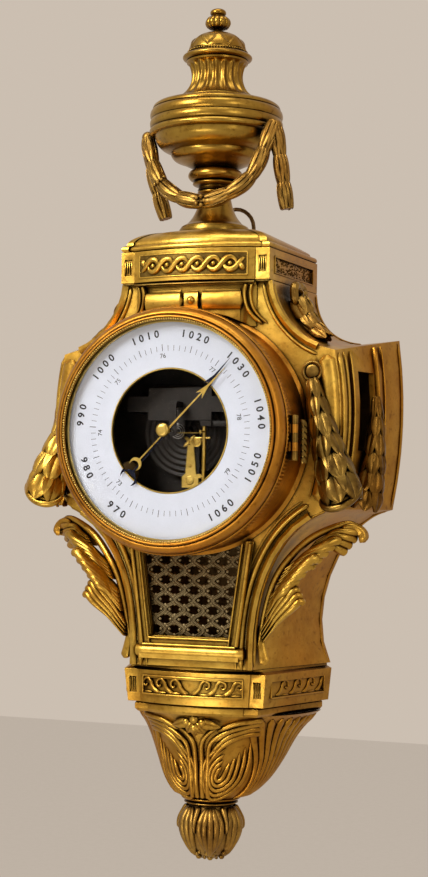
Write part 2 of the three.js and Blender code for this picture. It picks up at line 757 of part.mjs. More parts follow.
function mainLever() {
  const narrow = shaftRadius * 2;
  const shape = polygon([
    [-leverHalfTop, leverPivot - seatGap], [-narrow, -narrow * 2],
    [leverOffset - narrow, leverBrassTop - narrow],
    [leverOffset - narrow, linkPlace - narrow], [leverOffset + narrow, linkPlace - narrow],
    [leverOffset + narrow, leverBrassTop + narrow], [narrow * 1.4, narrow],
    [leverHalfTop, leverPivot - seatGap],
  ]);
  return plateInFront(shape, leverBack + leverThick, leverThick);
}

// The brass end of the lever, with its clamp screw.
const clampRise = 1;
const clampPlace = linkPlace + clampRise;
function leverEnd() {
  const top = shaftRadius * 2.4;
  const foot = shaftRadius * 3.8;
  const front = leverBack + leverThick + seatGap;
  const shape = polygon([
    [leverOffset - top / 2, leverBrassTop], [leverOffset - top, (leverBrassTop + linkPlace) / 2],
    [leverOffset - foot, leverBrassBottom],
    [leverOffset + foot, leverBrassBottom], [leverOffset + top, (leverBrassTop + linkPlace) / 2],
    [leverOffset + top / 2, leverBrassTop],
  ]);
  const screwFront = front + leverThick * 2.4;
  const screw = rod(point(leverOffset, -front, clampPlace), point(leverOffset, -screwFront, clampPlace),
    shaftRadius * 1.5);
  return fuse(plateInFront(shape, front + leverThick, leverThick), screw);
}

const crankTip = shaftPlace - crankLength;
function linkRod() {
  const low = leverBack + 2 * leverThick + 2 * seatGap;
  const eye = leverOffset + shaftRadius * 1.5 + seatGap;
  const front = -shaftDepth + shaftRadius / 2 + seatGap * 1.6;
  return fuse(
    rod(point(crankTip, -low, linkPlace), point(crankTip, front, linkPlace), shaftRadius * 0.5),
    block(eye, crankTip + shaftRadius / 2, -low, -low - leverThick / 2, linkPlace - shaftRadius,
      linkPlace + shaftRadius),
  );
}

const pivotRadius = 0.9;
const runningFit = 0.1;
const hookDepth = shaftDepth + chainArm;
function regulatorShaft() {
  const axis = (z) => point(shaftPlace, -shaftDepth, z);
  const thin = shaftRadius / 2;
  const crank = block(crankTip - shaftRadius, shaftPlace, -shaftDepth - thin, -shaftDepth + thin,
    linkPlace - thin, linkPlace + thin);
  const crossAt = -shaftRadius * 3;
  const crossPin = rod(point(shaftPlace - shaftRadius * 3, -shaftDepth, crossAt),
    point(shaftPlace + shaftRadius * 3, -shaftDepth, crossAt), thin);
  const arm = rod(axis(0), point(shaftPlace, -hookDepth - chainPin, 0), thin);
  const hook = rod(point(shaftPlace, -hookDepth, 0), point(shaftPlace, -hookDepth, -chainLow), chainPin, 8);
  const pivots = rod(axis(shaftBottom - wall), axis(shaftTop + wall), pivotRadius);
  return fuse(rod(axis(shaftBottom), axis(shaftTop), shaftRadius), crank, crossPin, arm, hook, pivots);
}

// The bracket whose two ears hold the pivots of the regulator shaft.
function regulatorBracket() {
  const outside = shaftPlace + shaftRadius * 4;
  const post = capsuleRadius + overrun;
  const ear = (z0, z1) => fuse(
    block(shaftPlace - shaftRadius * 1.6, outside, -shaftDepth - shaftRadius * 1.6,
      -shaftDepth + shaftRadius * 3, z0, z1),
    block(post, post + wall, -shaftDepth, -plateFront - seatGap, z0, z1),
    block(outside - overrun, post + wall, -shaftDepth, -shaftDepth + shaftRadius * 3, z0, z1),
  );
  const upper = ear(shaftTop + seatGap, shaftTop + seatGap + wall);
  const lower = ear(shaftBottom - seatGap - wall, shaftBottom - seatGap);
  const spine = block(post, post + wall, -plateFront - seatGap - wall, -plateFront - seatGap,
    shaftBottom - wall / 2, shaftTop + wall / 2);
  const bore = rod(
    point(shaftPlace, -shaftDepth, shaftBottom - 2 * wall),
    point(shaftPlace, -shaftDepth, shaftTop + 2 * wall), pivotRadius + runningFit);
  return cut(fuse(upper, lower, spine), bore);
}

// Flat links with an eye over the hook of the shaft's arm and a plain end under the arbor.
const chainThick = 0.4;
const chainTop = arborRadius + seatGap;
const chainLow = chainTop + 3 * chainThick;
const chainPin = 0.5;
const chainEye = 1.4;
const chainLinks = 4;
function fuseeChain() {
  const y = -hookDepth;
  const low = -chainTop - chainThick;
  const outer = chainEye + 2 * chainThick;
  const made = [cut(
    rod(point(shaftPlace, y, low), point(shaftPlace, y, low + chainThick), outer),
    rod(point(shaftPlace, y, low - overrun), point(shaftPlace, y, low + overrun), chainEye))];
  const first = shaftPlace - chainEye - chainThick;
  const span = (first - 2 * chainEye) / chainLinks;
  for (let i = 0; i < chainLinks; i++) {
    const from = first - span * i;
    const half = chainThick * (i % 2 ? 1.2 : 2);
    made.push(block(from - span * 1.05, from, y - half, y + half, low, low + chainThick));
  }
  return fuse(...made);
}

function pointerArbor() {
  const back = -bridgeFront + bridgeThick + seatGap;
  const drumBack = -shaftDepth - arborRadius * 4;
  const thin = arborRadius;
  return turnedY([
    [0, back], [thin, back], [thin, drumBack], [thin * 2, drumBack], [thin * 2, drumBack - thin],
    [thin, drumBack - thin], [thin, -pointerFront + pointerThick + seatGap + thin * 2],
    [arborCollar * 0.8, -pointerFront + pointerThick + seatGap + thin * 2],
    [arborCollar * 0.8, -pointerFront + pointerThick + seatGap],
    [thin, -pointerFront + pointerThick + seatGap], [thin, -pointerFront - thin], [0, -pointerFront - thin],
  ], smallSides);
}

const cockClearance = 1.5;

// The cock that steadies the arbor in front of the bridge.
function arborCock() {
  const front = shaftDepth + chainArm + cockClearance;
  const half = bridgeFoot / 2;
  const foot = (bridgeTop + bridgeBottom) / 2;
  const arm = block(-half, half, -front - leverThick, -front, -half, foot);
  const post = block(-half, half, -front, -bridgeFront - seatGap, foot - half, foot + half / 2);
  const boss = rod(point(0, -front - leverThick, 0), point(0, -front, 0), half * 1.3);
  const bore = rod(point(0, -front - leverThick - overrun, 0), point(0, -front + overrun, 0),
    arborRadius + seatGap);
  return cut(fuse(arm, post, boss), bore);
}

// The hairspring, an open spiral round the arbor.
function hairSpring() {
  const turns = 3;
  const steps = turns * 12;
  const from = arborRadius + seatGap;
  const to = bridgeFoot;
  const thick = 0.4;
  const front = shaftDepth + arborRadius;
  const spiral = (extra) => Array.from({ length: steps + 1 }, (_, i) => {
    const angle = (fullTurn * turns * i) / steps + halfTurn / 2;
    const radius = from + ((to - from) * i) / steps + extra;
    return [Math.cos(angle) * radius, Math.sin(angle) * radius];
  });
  const coil = plateInFront(polygon(spiral(0).concat(spiral(thick).reverse())), front, thick * 2);
  return fuse(coil, rod(point(0, -front, to), point(0, -bridgeFront - seatGap, to), thick * 2, 8));
}

// Blocks and cap.

const bowSteps = 12;
// Plan of a block with square corners and a bowed front, drawn in by inset.
function planRing(z, halfFront, halfWall, front, bow, corner, inset) {
  const ring = [point(halfWall - inset, 0, z), point(halfFront - inset, -front + inset, z)];
  const from = halfFront - corner;
  ring.push(point(from, -front + inset, z));
  for (let i = 0; i <= bowSteps; i++) {
    const share = 1 - (2 * i) / bowSteps;
    ring.push(point(from * share, -front + inset - bow * 0.12 - bow * (1 - share * share), z));
  }
  ring.push(point(-from, -front + inset, z));
  ring.push(point(-halfFront + inset, -front + inset, z), point(-halfWall + inset, 0, z));
  return ring;
}

// A bowed slab whose front surface is sunk behind the frieze's own, to cut its long panel.
function friezePanel(z0, z1, half, front, bow, corner, halfFront) {
  const from = halfFront - corner;
  const rings = [z0, z1].map((z) => {
    const ring = [];
    for (let i = 0; i <= bowSteps; i++) {
      const share = (1 - (2 * i) / bowSteps) * (half / from);
      ring.push(point(from * share, -front - bow * 0.12 - bow * (1 - share * share) + panelSink, z));
    }
    ring.push(point(-half, -front - bow - overrun * 4, z), point(half, -front - bow - overrun * 4, z));
    return ring;
  });
  return loft(rings, inPlan);
}

function cornerPanel(side, z0, z1, halfFront, front, corner) {
  const middle = side * (halfFront - corner / 2);
  return block(middle - corner * 0.26, middle + corner * 0.26, -front - overrun, -front + panelSink, z0, z1);
}

// The long sunk panel in a block's side, between its front corner and the wall.
function sidePanel(side, z0, z1, halfFront, halfWall, front) {
  const sinkFrom = 0.1;
  const sinkTo = 0.9;
  const at = (share) => ({ x: halfFront + (halfWall - halfFront) * share, y: -front * (1 - share) });
  const [a, b] = [at(sinkFrom), at(sinkTo)];
  const reach = overrun * 3;
  const rings = [z0, z1].map((z) => [
    point(side * (a.x - panelSink), a.y, z), point(side * (b.x - panelSink), b.y, z),
    point(side * (b.x + reach), b.y, z), point(side * (a.x + reach), a.y, z),
  ]);
  return loft(rings, inPlan);
}

const upperBottom = caseTop + seatGap;
const upperTop = upperBottom + friezeHeight;
function upperFrieze() {
  const ring = (z, inset) => planRing(z, neckHalfFront, neckHalfWall, friezeFront, friezeBow, cornerWidth,
    inset);
  const [low, high] = [upperBottom + friezeHeight * 0.24, upperBottom + friezeHeight * 0.76];
  const inside = loft([upperBottom - overrun, upperTop - wall].map((z) => ring(z, wall).map(
    (p) => point(p.x, p.y === 0 ? overrun : p.y, p.z))), inPlan);
  const panels = [1, -1].flatMap((side) => [
    cornerPanel(side, low, high, neckHalfFront, friezeFront, cornerWidth),
    sidePanel(side, low, high, neckHalfFront, neckHalfWall, friezeFront),
  ]);
  const long = friezePanel(low, high, (neckHalfFront - cornerWidth) * 0.88, friezeFront, friezeBow,
    cornerWidth, neckHalfFront);
  const rodHole = rod(point(0, -urnAxis, upperBottom), point(0, -urnAxis, upperTop + overrun),
    tieRodRadius + seatGap);
  return cut(loft([ring(upperBottom, 0), ring(upperTop, 0)], inPlan), inside, ...panels, long, rodHole);
}

const capShares = [[0, 0.05], [0.26, 0.05], [0.28, 0.2], [0.62, 0.42], [0.86, 0.68], [0.96, 0.86], [1, 1]];
const capInset = 24;
const capBottom = upperTop + seatGap;
const capTop = capBottom + capHeight;
function cap() {
  const ring = (height, inset) => planRing(
    capBottom + height * capHeight, neckHalfFront, neckHalfWall, friezeFront, friezeBow * (1 - inset * 0.4),
    cornerWidth, inset * capInset);
  const rodHole = rod(point(0, -urnAxis, capBottom - overrun), point(0, -urnAxis, capTop + overrun),
    tieRodRadius + seatGap);
  const hollow = loft([-overrun, capHeight * 0.5].map((z) => planRing(
    capBottom + z, neckHalfFront, neckHalfWall, friezeFront, friezeBow, cornerWidth, capInset * 0.7).map(
    (p) => point(p.x, p.y === 0 ? -wall : p.y, p.z))), inPlan);
  const legs = [1, -1].map((side) => rod(
    point(side * loopHalf, -loopPlace, capTop - capHeight * 0.4),
    point(side * loopHalf, -loopPlace, capTop + overrun), loopRod + seatGap));
  return cut(loft(capShares.map(([height, inset]) => ring(height, inset)), inPlan), hollow, rodHole, ...legs);
}

function hangingLoop() {
  const foot = capTop - capHeight * 0.4 + seatGap;
  const top = capTop + loopRise;
  const places = [point(-loopHalf, -loopPlace, foot), point(-loopHalf, -loopPlace, capTop + loopRise * 0.2)];
  const arcSteps = 8;
  for (let i = 1; i < arcSteps; i++) {
    const angle = halfTurn * (1 - i / arcSteps);
    places.push(point(Math.cos(angle) * loopHalf, -loopPlace,
      capTop + loopRise * 0.4 + Math.sin(angle) * loopRise * 0.6));
  }
  places.push(point(loopHalf, -loopPlace, capTop + loopRise * 0.2), point(loopHalf, -loopPlace, foot));
  return sweep(new THREE.CatmullRomCurve3(places), () => loopRod, 22, 8);
}

const neckProud = 1;
const railProud = 3.4;
const pillowProud = 2.6;
const pearlRadius = 3.4;
const pearlProud = 1.6;
const pillowShares = [[-0.76, -0.2], [0.2, 0.76]];

// The neck between the drum and the frieze: two pillows and a pearl on a bowed face.
function upperNeck() {
  const half = neckHalfFront - cornerWidth;
  const low = drumRadius + drumFlare + seatGap;
  const bowed = (z0, z1, from, to, proud) => loft([z0, z1].map((z) => {
    const ring = [];
    for (let i = 0; i <= bowSteps; i++) {
      const x = to + ((from - to) * i) / bowSteps;
      ring.push(point(x, -caseDepth - seatGap - proud - friezeBow * 0.7 * (1 - (x / half) ** 2), z));
    }
    ring.push(point(from, -caseDepth - seatGap, z), point(to, -caseDepth - seatGap, z));
    return ring;
  }), inPlan);
  const bottom = caseTop - wall * 9;
  const base = bowed(bottom, caseTop, -half, half, neckProud);
  const rail = bowed(caseTop - wall * 0.8, caseTop, -half, half, railProud);
  const pillowTop = caseTop - wall * 1.6;
  const pillows = pillowShares.map(([a, b]) => bowed(bottom, pillowTop, half * a, half * b, pillowProud));
  const pearl = new THREE.SphereGeometry(pearlRadius, 12, 8).translate(0,
    -caseDepth - friezeBow * 0.7 - pearlProud, caseTop - wall * 3.6);
  const drum = rod(point(0, -caseDepth - drumDepth, 0), point(0, -caseDepth + overrun, 0), low, ringSides);
  return cut(fuse(base, rail, ...pillows, pearl), drum);
}

// Grille and its frame.

const grilleThick = 1.6;
const grilleColumns = 5;
const grilleRows = 9;
function grille() {
  const lap = 5;
  const outline = polygon(grilleOutline(lap, grilleTop + lap));
  const across = (2 * grilleHalfTop) / (grilleColumns + 0.3);
  const down = (grilleTop - grilleBottom) / (grilleRows + 0.7);
  const slope = (grilleHalfTop - grilleHalfBottom) / (grilleTop - grilleBottom);
  for (let row = 0; row < grilleRows; row++) {
    const z = grilleTop - down * (row + 1.1);
    const shift = row % 2 ? across / 2 : 0;
    for (let column = -grilleColumns; column <= grilleColumns; column++) {
      const x = column * across + shift;
      const room = grilleHalfTop + (z - grilleTop) * slope - across * 0.3;
      if (Math.abs(x) > room) continue;
      const eye = new THREE.Path();
      eye.moveTo(x, z + down * 0.52);
      eye.quadraticCurveTo(x + across * 0.5, z, x, z - down * 0.52);
      eye.quadraticCurveTo(x - across * 0.5, z, x, z + down * 0.52);
      outline.holes.push(eye);
    }
  }
  const plate = plateInFront(outline, caseDepth - wall - seatGap, grilleThick, 2);
  const drum = rod(point(0, -caseDepth, 0), point(0, 0, 0), drumHole + seatGap, ringSides);
  return cut(plate, drum);
}

const frameWidth = 9;
const frameThick = 4.5;
const frameFoot = 18;
function grilleFrame() {
  const foot = grilleBottom - frameFoot;
  const layer = (grow, thick, step) => {
    const slab = plateInFront(polygon(grilleOutline(frameWidth + grow, grilleTop, foot)),
      caseDepth + seatGap + thick, thick);
    const opening = polygon(grilleOutline(step, grilleTop + overrun, grilleBottom - step));
    return cut(slab, plateInFront(opening, caseDepth + thick + 2 * overrun, thick + 2 * overrun));
  };
  const drum = rod(point(0, -caseDepth - drumDepth, 0), point(0, 0, 0), drumRadius + drumFlare + seatGap,
    ringSides);
  const low = layer(0, frameThick * 0.45, seatGap);
  const high = layer(-frameWidth * 0.2, frameThick, frameWidth * 0.35);
  const half = grilleHalfBottom + frameWidth;
  const base = block(-half, half, -caseDepth - frameThick * 1.5, -caseDepth - seatGap, foot,
    grilleBottom - frameWidth);
  return cut(fuse(low, high, base), drum);
}

// Lower block, bowl and bud.

const lowerTop = caseBottom - seatGap;
const lowerBottom = lowerTop - lowerHeight;
const cove = 4;
function lowerFrieze() {
  const ring = (z, inset, taper = 0) => planRing(
    z, lowerHalfFront - taper, lowerHalfWall - taper, lowerFront - taper, lowerBow, cornerWidth, inset);
  const shelf = lowerTop - cove;
  const outer = loft([ring(lowerTop, cove), ring(shelf + cove / 2, cove), ring(shelf, 0),
    ring(lowerBottom, 0, lowerTaper)], inPlan);
  const inside = loft([lowerBottom - overrun, lowerTop - wall].map((z) => ring(z, wall + cove).map(
    (p) => point(p.x, p.y === 0 ? overrun : p.y, p.z))), inPlan);
  const [low, high] = [lowerBottom + lowerHeight * 0.24, shelf - lowerHeight * 0.2];
  const panels = [1, -1].flatMap((side) => [
    cornerPanel(side, low, high, lowerHalfFront - lowerTaper / 2, lowerFront - lowerTaper / 2, cornerWidth),
    sidePanel(side, low, high, lowerHalfFront - lowerTaper / 2, lowerHalfWall - lowerTaper / 2,
      lowerFront - lowerTaper / 2),
  ]);
  const long = friezePanel(low, high, (lowerHalfFront - cornerWidth) * 0.88, lowerFront - lowerTaper / 2,
    lowerBow, cornerWidth, lowerHalfFront);
  const rodHole = rod(point(0, -budAxis, lowerBottom), point(0, -budAxis, lowerTop + overrun),
    tieRodRadius + seatGap);
  return cut(outer, inside, ...panels, long, rodHole);
}

// The stepped moulding under the lower block.
const torusHeight = 8;
function lowerMoulding() {
  const top = lowerBottom - seatGap;
  const [half, reachWall, front] = [lowerHalfFront - lowerTaper * 3, lowerHalfWall - lowerTaper * 3,
    lowerFront - lowerTaper * 2];
  const ring = (share, inset) => planRing(top - torusHeight * share, half, reachWall, front, lowerBow,
    cornerWidth, inset);
  const outer = loft([ring(0, 1), ring(0.2, 0), ring(0.7, 0), ring(1, 2)], inPlan);
  const inside = loft([top + overrun, top - torusHeight - overrun].map((z) => planRing(
    z, half, reachWall, front, lowerBow, cornerWidth,
    wall * 2).map((p) => point(p.x, p.y === 0 ? overrun : p.y, p.z))), inPlan);
  return cut(outer, inside);
}

// Bowl sections: share of the height, half width, reach from its own centre, and centre from the wall.
const bowlShares = [
  [0, 0.96, 0.95, 0.05], [0.12, 0.83, 0.8, 0.11], [0.3, 0.72, 0.69, 0.18], [0.54, 0.62, 0.58, 0.25],
  [0.74, 0.525, 0.48, 0.34], [0.88, 0.42, 0.365, 0.43], [0.96, 0.31, 0.28, 0.49], [1, 0.256, 0.24, 0.51],
];
const bowlPoints = 40;
const fluteDepthShare = 0.035;
function bowlRing(row, inset, fluted) {
  const [share, half, reach, centre] = row;
  const ring = [];
  for (let i = 0; i < bowlPoints; i++) {
    const angle = (fullTurn * i) / bowlPoints;
    const flute = fluted && i % 2 ? 1 - fluteDepthShare : 1;
    const x = Math.cos(angle) * (half * bowlHalf * flute - inset);
    const y = -centre * bowlReach - Math.sin(angle) * (reach * bowlReach * flute - inset);
    ring.push(point(x, y, bowlTop - share * bowlHeight));
  }
  return ring;
}

// Everything on the wall's side of a plane so far in front of it.
function wallSide(front) {
  return block(-2 * bowlHalf, 2 * bowlHalf, -front, 2 * bowlReach, bowlTop + overrun * 2,
    bowlTop - bowlHeight - overrun * 2);
}

const bowlTop = lowerBottom - 2 * seatGap - torusHeight;
function bowl() {
  const outer = loft(bowlShares.map((row) => bowlRing(row, 0, true)), inPlan);
  const inner = bowlShares.slice(0, 6).map((row) => bowlRing(row, wall * 1.5, false));
  inner[0] = inner[0].map((p) => point(p.x, p.y, p.z + overrun));
  const hollow = cut(loft(inner, inPlan), wallSide(wall));
  const rodHole = rod(point(0, -budAxis, bowlTop), point(0, -budAxis, bowlTop - bowlHeight - overrun),
    tieRodRadius + seatGap);
  return cut(outer, wallSide(0), hollow, rodHole);
}

const budShares = [
  [0.62, 0], [0.77, -0.02], [0.8, -0.06], [0.72, -0.09], [0.86, -0.2], [0.98, -0.34], [1, -0.44],
  [0.93, -0.62],
  [0.72, -0.8], [0.4, -0.93], [0.12, -1],
];
const budTop = bowlTop - bowlHeight - seatGap;
function budFinial() {
  const leaves = 12;
  const rings = budShares.map(([radius, height], k) => {
    const ring = [];
    for (let i = 0; i < leaves * 2; i++) {
      const angle = (halfTurn * i) / leaves;
      const lobe = k > 3 && i % 2 ? 0.93 : 1;
      ring.push(point(Math.cos(angle) * radius * budRadius * lobe,
        -budAxis + Math.sin(angle) * radius * budRadius * lobe, budTop + height * budHeight));
    }
    return ring;
  });
  const rodHole = rod(point(0, -budAxis, budTop + overrun), point(0, -budAxis, budTop - budHeight * 0.3),
    tieRodRadius + seatGap);
  return cut(loft(rings, inPlan), rodHole);
}

function tieRod(y, low, high) {
  return rod(point(0, -y, low), point(0, -y, high), tieRodRadius, 12);
}

function nut(y, low) {
  const made = rod(point(0, -y, low), point(0, -y, low + nutThick), nutRadius, 6);
  return cut(made, rod(point(0, -y, low - overrun), point(0, -y, low + nutThick + overrun),
    tieRodRadius + seatGap));
}

// Urn.

const footBottom = capTop + seatGap;
const bodyBottom = footBottom + footHeight + seatGap;
const neckBottom = bodyBottom + urnBodyHeight + seatGap;
const lidBottom = neckBottom + urnNeckHeight + seatGap;
const finialBottom = lidBottom + urnLidHeight + seatGap;
const boreRadius = tieRodRadius + seatGap;

const footShares = [
  [1, 0], [1, 0.12], [0.95, 0.17], [0.8, 0.24], [0.64, 0.38], [0.52, 0.58], [0.44, 0.8], [0.42, 0.92],
  [0.47, 0.94], [0.47, 1],
];
function urnFoot() {
  return turnedZ(shellProfile(footShares, footRadius, footHeight, boreRadius), roundSides);
}

const bodyShares = [
  [0.26, 0], [0.26, 0.06], [0.36, 0.09], [0.4, 0.16], [0.36, 0.22], [0.42, 0.25], [0.58, 0.34], [0.6, 0.38],
  [0.71, 0.42],
  [0.73, 0.45], [0.89, 0.53], [0.94, 0.6], [1, 0.63], [1.01, 0.66], [0.98, 0.7], [0.995, 0.72], [0.995, 0.82],
  [0.97, 0.84], [0.98, 0.88], [0.93, 0.93], [0.62, 0.985], [0.6, 1],
];
const bodyInnerShares = [[0.5, 1], [0.85, 0.86], [0.85, 0.64], [0.5, 0.38]];
function urnBody() {
  const outer = scaledProfile(bodyShares, urnBandRadius, urnBodyHeight);
  const inner = scaledProfile(bodyInnerShares, urnBandRadius, urnBodyHeight);
  const floor = inner[inner.length - 1][1] - wall;
  return turnedZ([[boreRadius, 0], ...outer, ...inner, [boreRadius, floor], [boreRadius, 0]], roundSides + 2);
}

const neckShares = [[1, 0], [0.88, 0.12], [0.78, 0.3], [0.75, 0.46], [0.77, 0.68], [0.85, 0.92], [0.88, 1]];
const neckFlutes = 20;
function urnNeck() {
  const rings = neckShares.map(([radius, height], k) => {
    const ring = [];
    for (let i = 0; i < neckFlutes * 2; i++) {
      const angle = (halfTurn * i) / neckFlutes;
      const deep = i % 2 && k < neckShares.length - 1 ? 0.94 : 1;
      ring.push(point(Math.cos(angle) * radius * urnNeckRadius * deep,
        Math.sin(angle) * radius * urnNeckRadius * deep, height * urnNeckHeight));
    }
    return ring;
  });
  const inner = neckShares[3][0] * urnNeckRadius - wall;
  return cut(loft(rings, inPlan), rod(point(0, 0, -overrun), point(0, 0, urnNeckHeight + overrun), inner));
}

const lidShares = [
  [0.84, 0], [1, 0.06], [1, 0.16], [0.93, 0.2], [0.9, 0.24], [0.92, 0.29], [0.87, 0.35], [0.8, 0.52],
  [0.7, 0.68],
  [0.52, 0.84], [0.32, 0.94], [0.16, 1],
];
function urnLid() {
  return turnedZ(shellProfile(lidShares, urnLidRadius, urnLidHeight, boreRadius), roundSides);
}

const finialShares = [
  [0, 0], [0.4, 0], [0.34, 0.07], [0.72, 0.13], [0.97, 0.28], [1, 0.4], [0.92, 0.54], [0.66, 0.68],
  [0.42, 0.72],
  [0.56, 0.78], [0.56, 0.88], [0.36, 0.97], [0, 1],
];
function urnFinial() {
  const knob = turnedZ(scaledProfile(finialShares, urnFinialRadius, urnFinialHeight), 16);
  return cut(knob, rod(point(0, 0, -overrun), point(0, 0, urnFinialHeight * 0.3), boreRadius, 12));
}

// Laurel swag of the urn and its two tails, about the urn's axis.
const swagDrop = 64;
const swagReach = 31;
const swagStandOff = 5.6;
const swagHook = urnBandRadius + swagStandOff;
const swagTop = bodyBottom + urnBodyHeight * 0.66;
const swagShares = [
  [-0.99, 0.16, 0.065], [-0.935, 0.26, 0.22], [-0.765, 0.52, 0.58], [-0.48, 0.77, 0.845], [-0.03, 0.97, 1],
  [0.425, 1, 0.895], [0.715, 0.9, 0.66], [0.855, 0.775, 0.32], [0.97, 0.645, 0.015],
];
const tailShares = [
  [[-0.99, 0.16, 0.05], [-0.88, 0.13, 0.56], [-0.72, 0.07, 1.1]],
  [[0.985, 0.645, 0.05], [1.045, 0.56, 0.55], [1.12, 0.46, 1.08]],
];
const swagPlace = ([x, y, z]) => point(x * swagHook, -y * swagReach, swagTop - z * swagDrop);
const bundle = (share, count) => 0.86 + 0.2 * Math.abs(Math.sin(halfTurn * share * count));
function urnSwag() {
  const size = (share) => swagRadius * bundle(share, 9) * (0.66 + 0.34 * Math.sin(halfTurn * share));
  return sweep(new THREE.CatmullRomCurve3(swagShares.map(swagPlace)), size, 36, 7);
}

// A tail with the stub that joins it to the urn.
function swagTail(shares) {
  const places = shares.map(swagPlace);
  const swell = (share) => (0.5 + 0.5 * Math.min(1, share * 1.6)) * (share > 0.97 ? 0.6 : 1);
  const size = (share) => swagRadius * bundle(share, 3) * swell(share);
  const tail = sweep(new THREE.CatmullRomCurve3(places), size, 12, 7);
  const outward = point(places[0].x, places[0].y, 0).normalize().multiplyScalar(urnBandRadius + seatGap);
  return fuse(tail, rod(point(outward.x, outward.y, places[0].z), places[0], swagRadius * 0.4, 8));
}

// Applied laurels and leaves, seated on the case.

const seated = (geometry) => cut(geometry, caseSolid(seatGap));
const laurelTop = 48;
const laurelBottom = -54;
const laurelStandOff = 6;
const laurelSplay = 24;
const laurelHalfTop = drumRadius + laurelStandOff;
const laurelRadius = 14.5;
const rosetteRadius = 6.5;
function earLaurel(side) {
  const seat = caseDepth + seatGap;
  const thick = (share) => laurelRadius * (0.42 + 0.58 * Math.min(1, share * 1.25));
  const at = (share) => point(
    side * (laurelHalfTop + laurelSplay * share ** 1.3), -seat - thick(share) * 0.86,
    laurelTop + (laurelBottom - laurelTop) * share);
  const places = [0, 0.2, 0.4, 0.6, 0.8, 1].map(at);
  const rows = 7;
  const size = (share) => thick(share) * (0.88 + 0.16 * ((share * rows) % 1)) * (share > 0.985 ? 0.7 : 1);
  const laurel = sweep(new THREE.CatmullRomCurve3(places), size, rows * 3, 9);
  const rosette = turnedY([
    [0, -seat], [rosetteRadius, -seat], [rosetteRadius, -seat - rosetteRadius * 0.9],
    [rosetteRadius * 0.7, -seat - rosetteRadius * 1.2], [rosetteRadius * 0.5, -seat - rosetteRadius],
    [0, -seat - rosetteRadius],
  ], 16).translate(side * laurelHalfTop, 0, laurelTop);
  return seated(fuse(laurel, rosette));
}

// A point on the side of the case: a part of the outline, a share along it and a share of the depth.
function onWall(part, along, depthShare, proud) {
  const at = (outline) => {
    const list = outline[part];
    const place = along * (list.length - 1);
    const i = Math.min(Math.floor(place), list.length - 2);
    return list[i].clone().lerp(list[i + 1], place - i);
  };
  const here = at(frontOutline).lerp(at(wallOutline), depthShare);
  const list = frontOutline[part];
  const place = Math.min(Math.floor(along * (list.length - 1)), list.length - 2);
  const wallList = wallOutline[part];
  const wallRun = wallList[place + 1].clone().sub(wallList[place]);
  const run = list[place + 1].clone().sub(list[place]).lerp(wallRun, depthShare);
  const out = new THREE.Vector2(-run.y, run.x).normalize();
  return point(here.x + out.x * proud, -caseDepth * (1 - depthShare), here.y + out.y * proud);
}

const sideLaurelDepthShare = 0.46;
const sideLaurelRadius = 9.5;
const sideLaurelTop = 26;
const sideLaurelBottom = -52;
function sideLaurel() {
  const thick = (share) => sideLaurelRadius * (0.5 + 0.5 * Math.min(1, share * 1.3));
  const run = earTop - earBottom;
  const places = [0, 0.25, 0.5, 0.75, 1].map((share) => {
    const z = sideLaurelTop + (sideLaurelBottom - sideLaurelTop) * share;
    return onWall("ear", (earTop - z) / run, sideLaurelDepthShare, thick(share) * 0.55);
  });
  const rows = 6;
  const size = (share) => thick(share) * (0.88 + 0.16 * ((share * rows) % 1));
  const laurel = sweep(new THREE.CatmullRomCurve3(places), size, rows * 3, 8);
  return laurel;
}

const dropDepthShare = 0.42;
const dropRadius = 8.5;
const dropPlaceShares = [0.1, 0.3, 0.5, 0.7, 0.88];

function shoulderDrop() {
  const thick = (share) => dropRadius * (0.55 + 0.45 * Math.sin(halfTurn * Math.min(1, share * 0.8)));
  const places = dropPlaceShares.map((along) => onWall("shoulder", along, dropDepthShare,
    thick(along) * 0.6));
  const rows = 5;
  const size = (share) => thick(share) * (0.88 + 0.16 * ((share * rows) % 1)) * (share > 0.97 ? 0.6 : 1);
  const laurel = sweep(new THREE.CatmullRomCurve3(places), size, rows * 3, 8);
  const foot = onWall("shoulder", 0.08, dropDepthShare, dropRadius * 0.4);
  const head = onWall("shoulder", 0.08, dropDepthShare, dropRadius * 1.5);
  return fuse(laurel, rod(foot, head, dropRadius * 0.62, 12));
}

// Acanthus leaf: a sheet from a stem beside the front corner out to three fans and a curled tip.
const leafThick = 4;
const leafSpan = 80;
const leafLength = 100;
const leafDepth = 30;
const leafTop = -68;
const stemShares = [
  [0.04, 0.2, 1], [0.1, 0.17, 0.72], [0.19, 0.2, 0.48], [0.31, 0.27, 0.31], [0.51, 0.47, 0.14],
  [0.74, 0.7, 0.04],
  [0.89, 0.87, 0.01], [0.97, 0.97, 0.05],
];
const edgeShares = [
  [0.06, 0.23, 1], [0.15, 0.23, 0.82], [0.31, 0.13, 0.66], [0.46, 0.03, 0.56], [0.48, 0.03, 0.5],
  [0.39, 0.1, 0.44],
  [0.51, 0.07, 0.44], [0.61, 0.07, 0.39], [0.625, 0.1, 0.33], [0.525, 0.2, 0.25], [0.65, 0.4, 0.24],
  [0.76, 0.53, 0.19],
  [0.76, 0.6, 0.13], [0.71, 0.63, 0.09], [0.86, 0.8, 0.11], [0.95, 0.93, 0.16], [1, 0.97, 0.12],
];
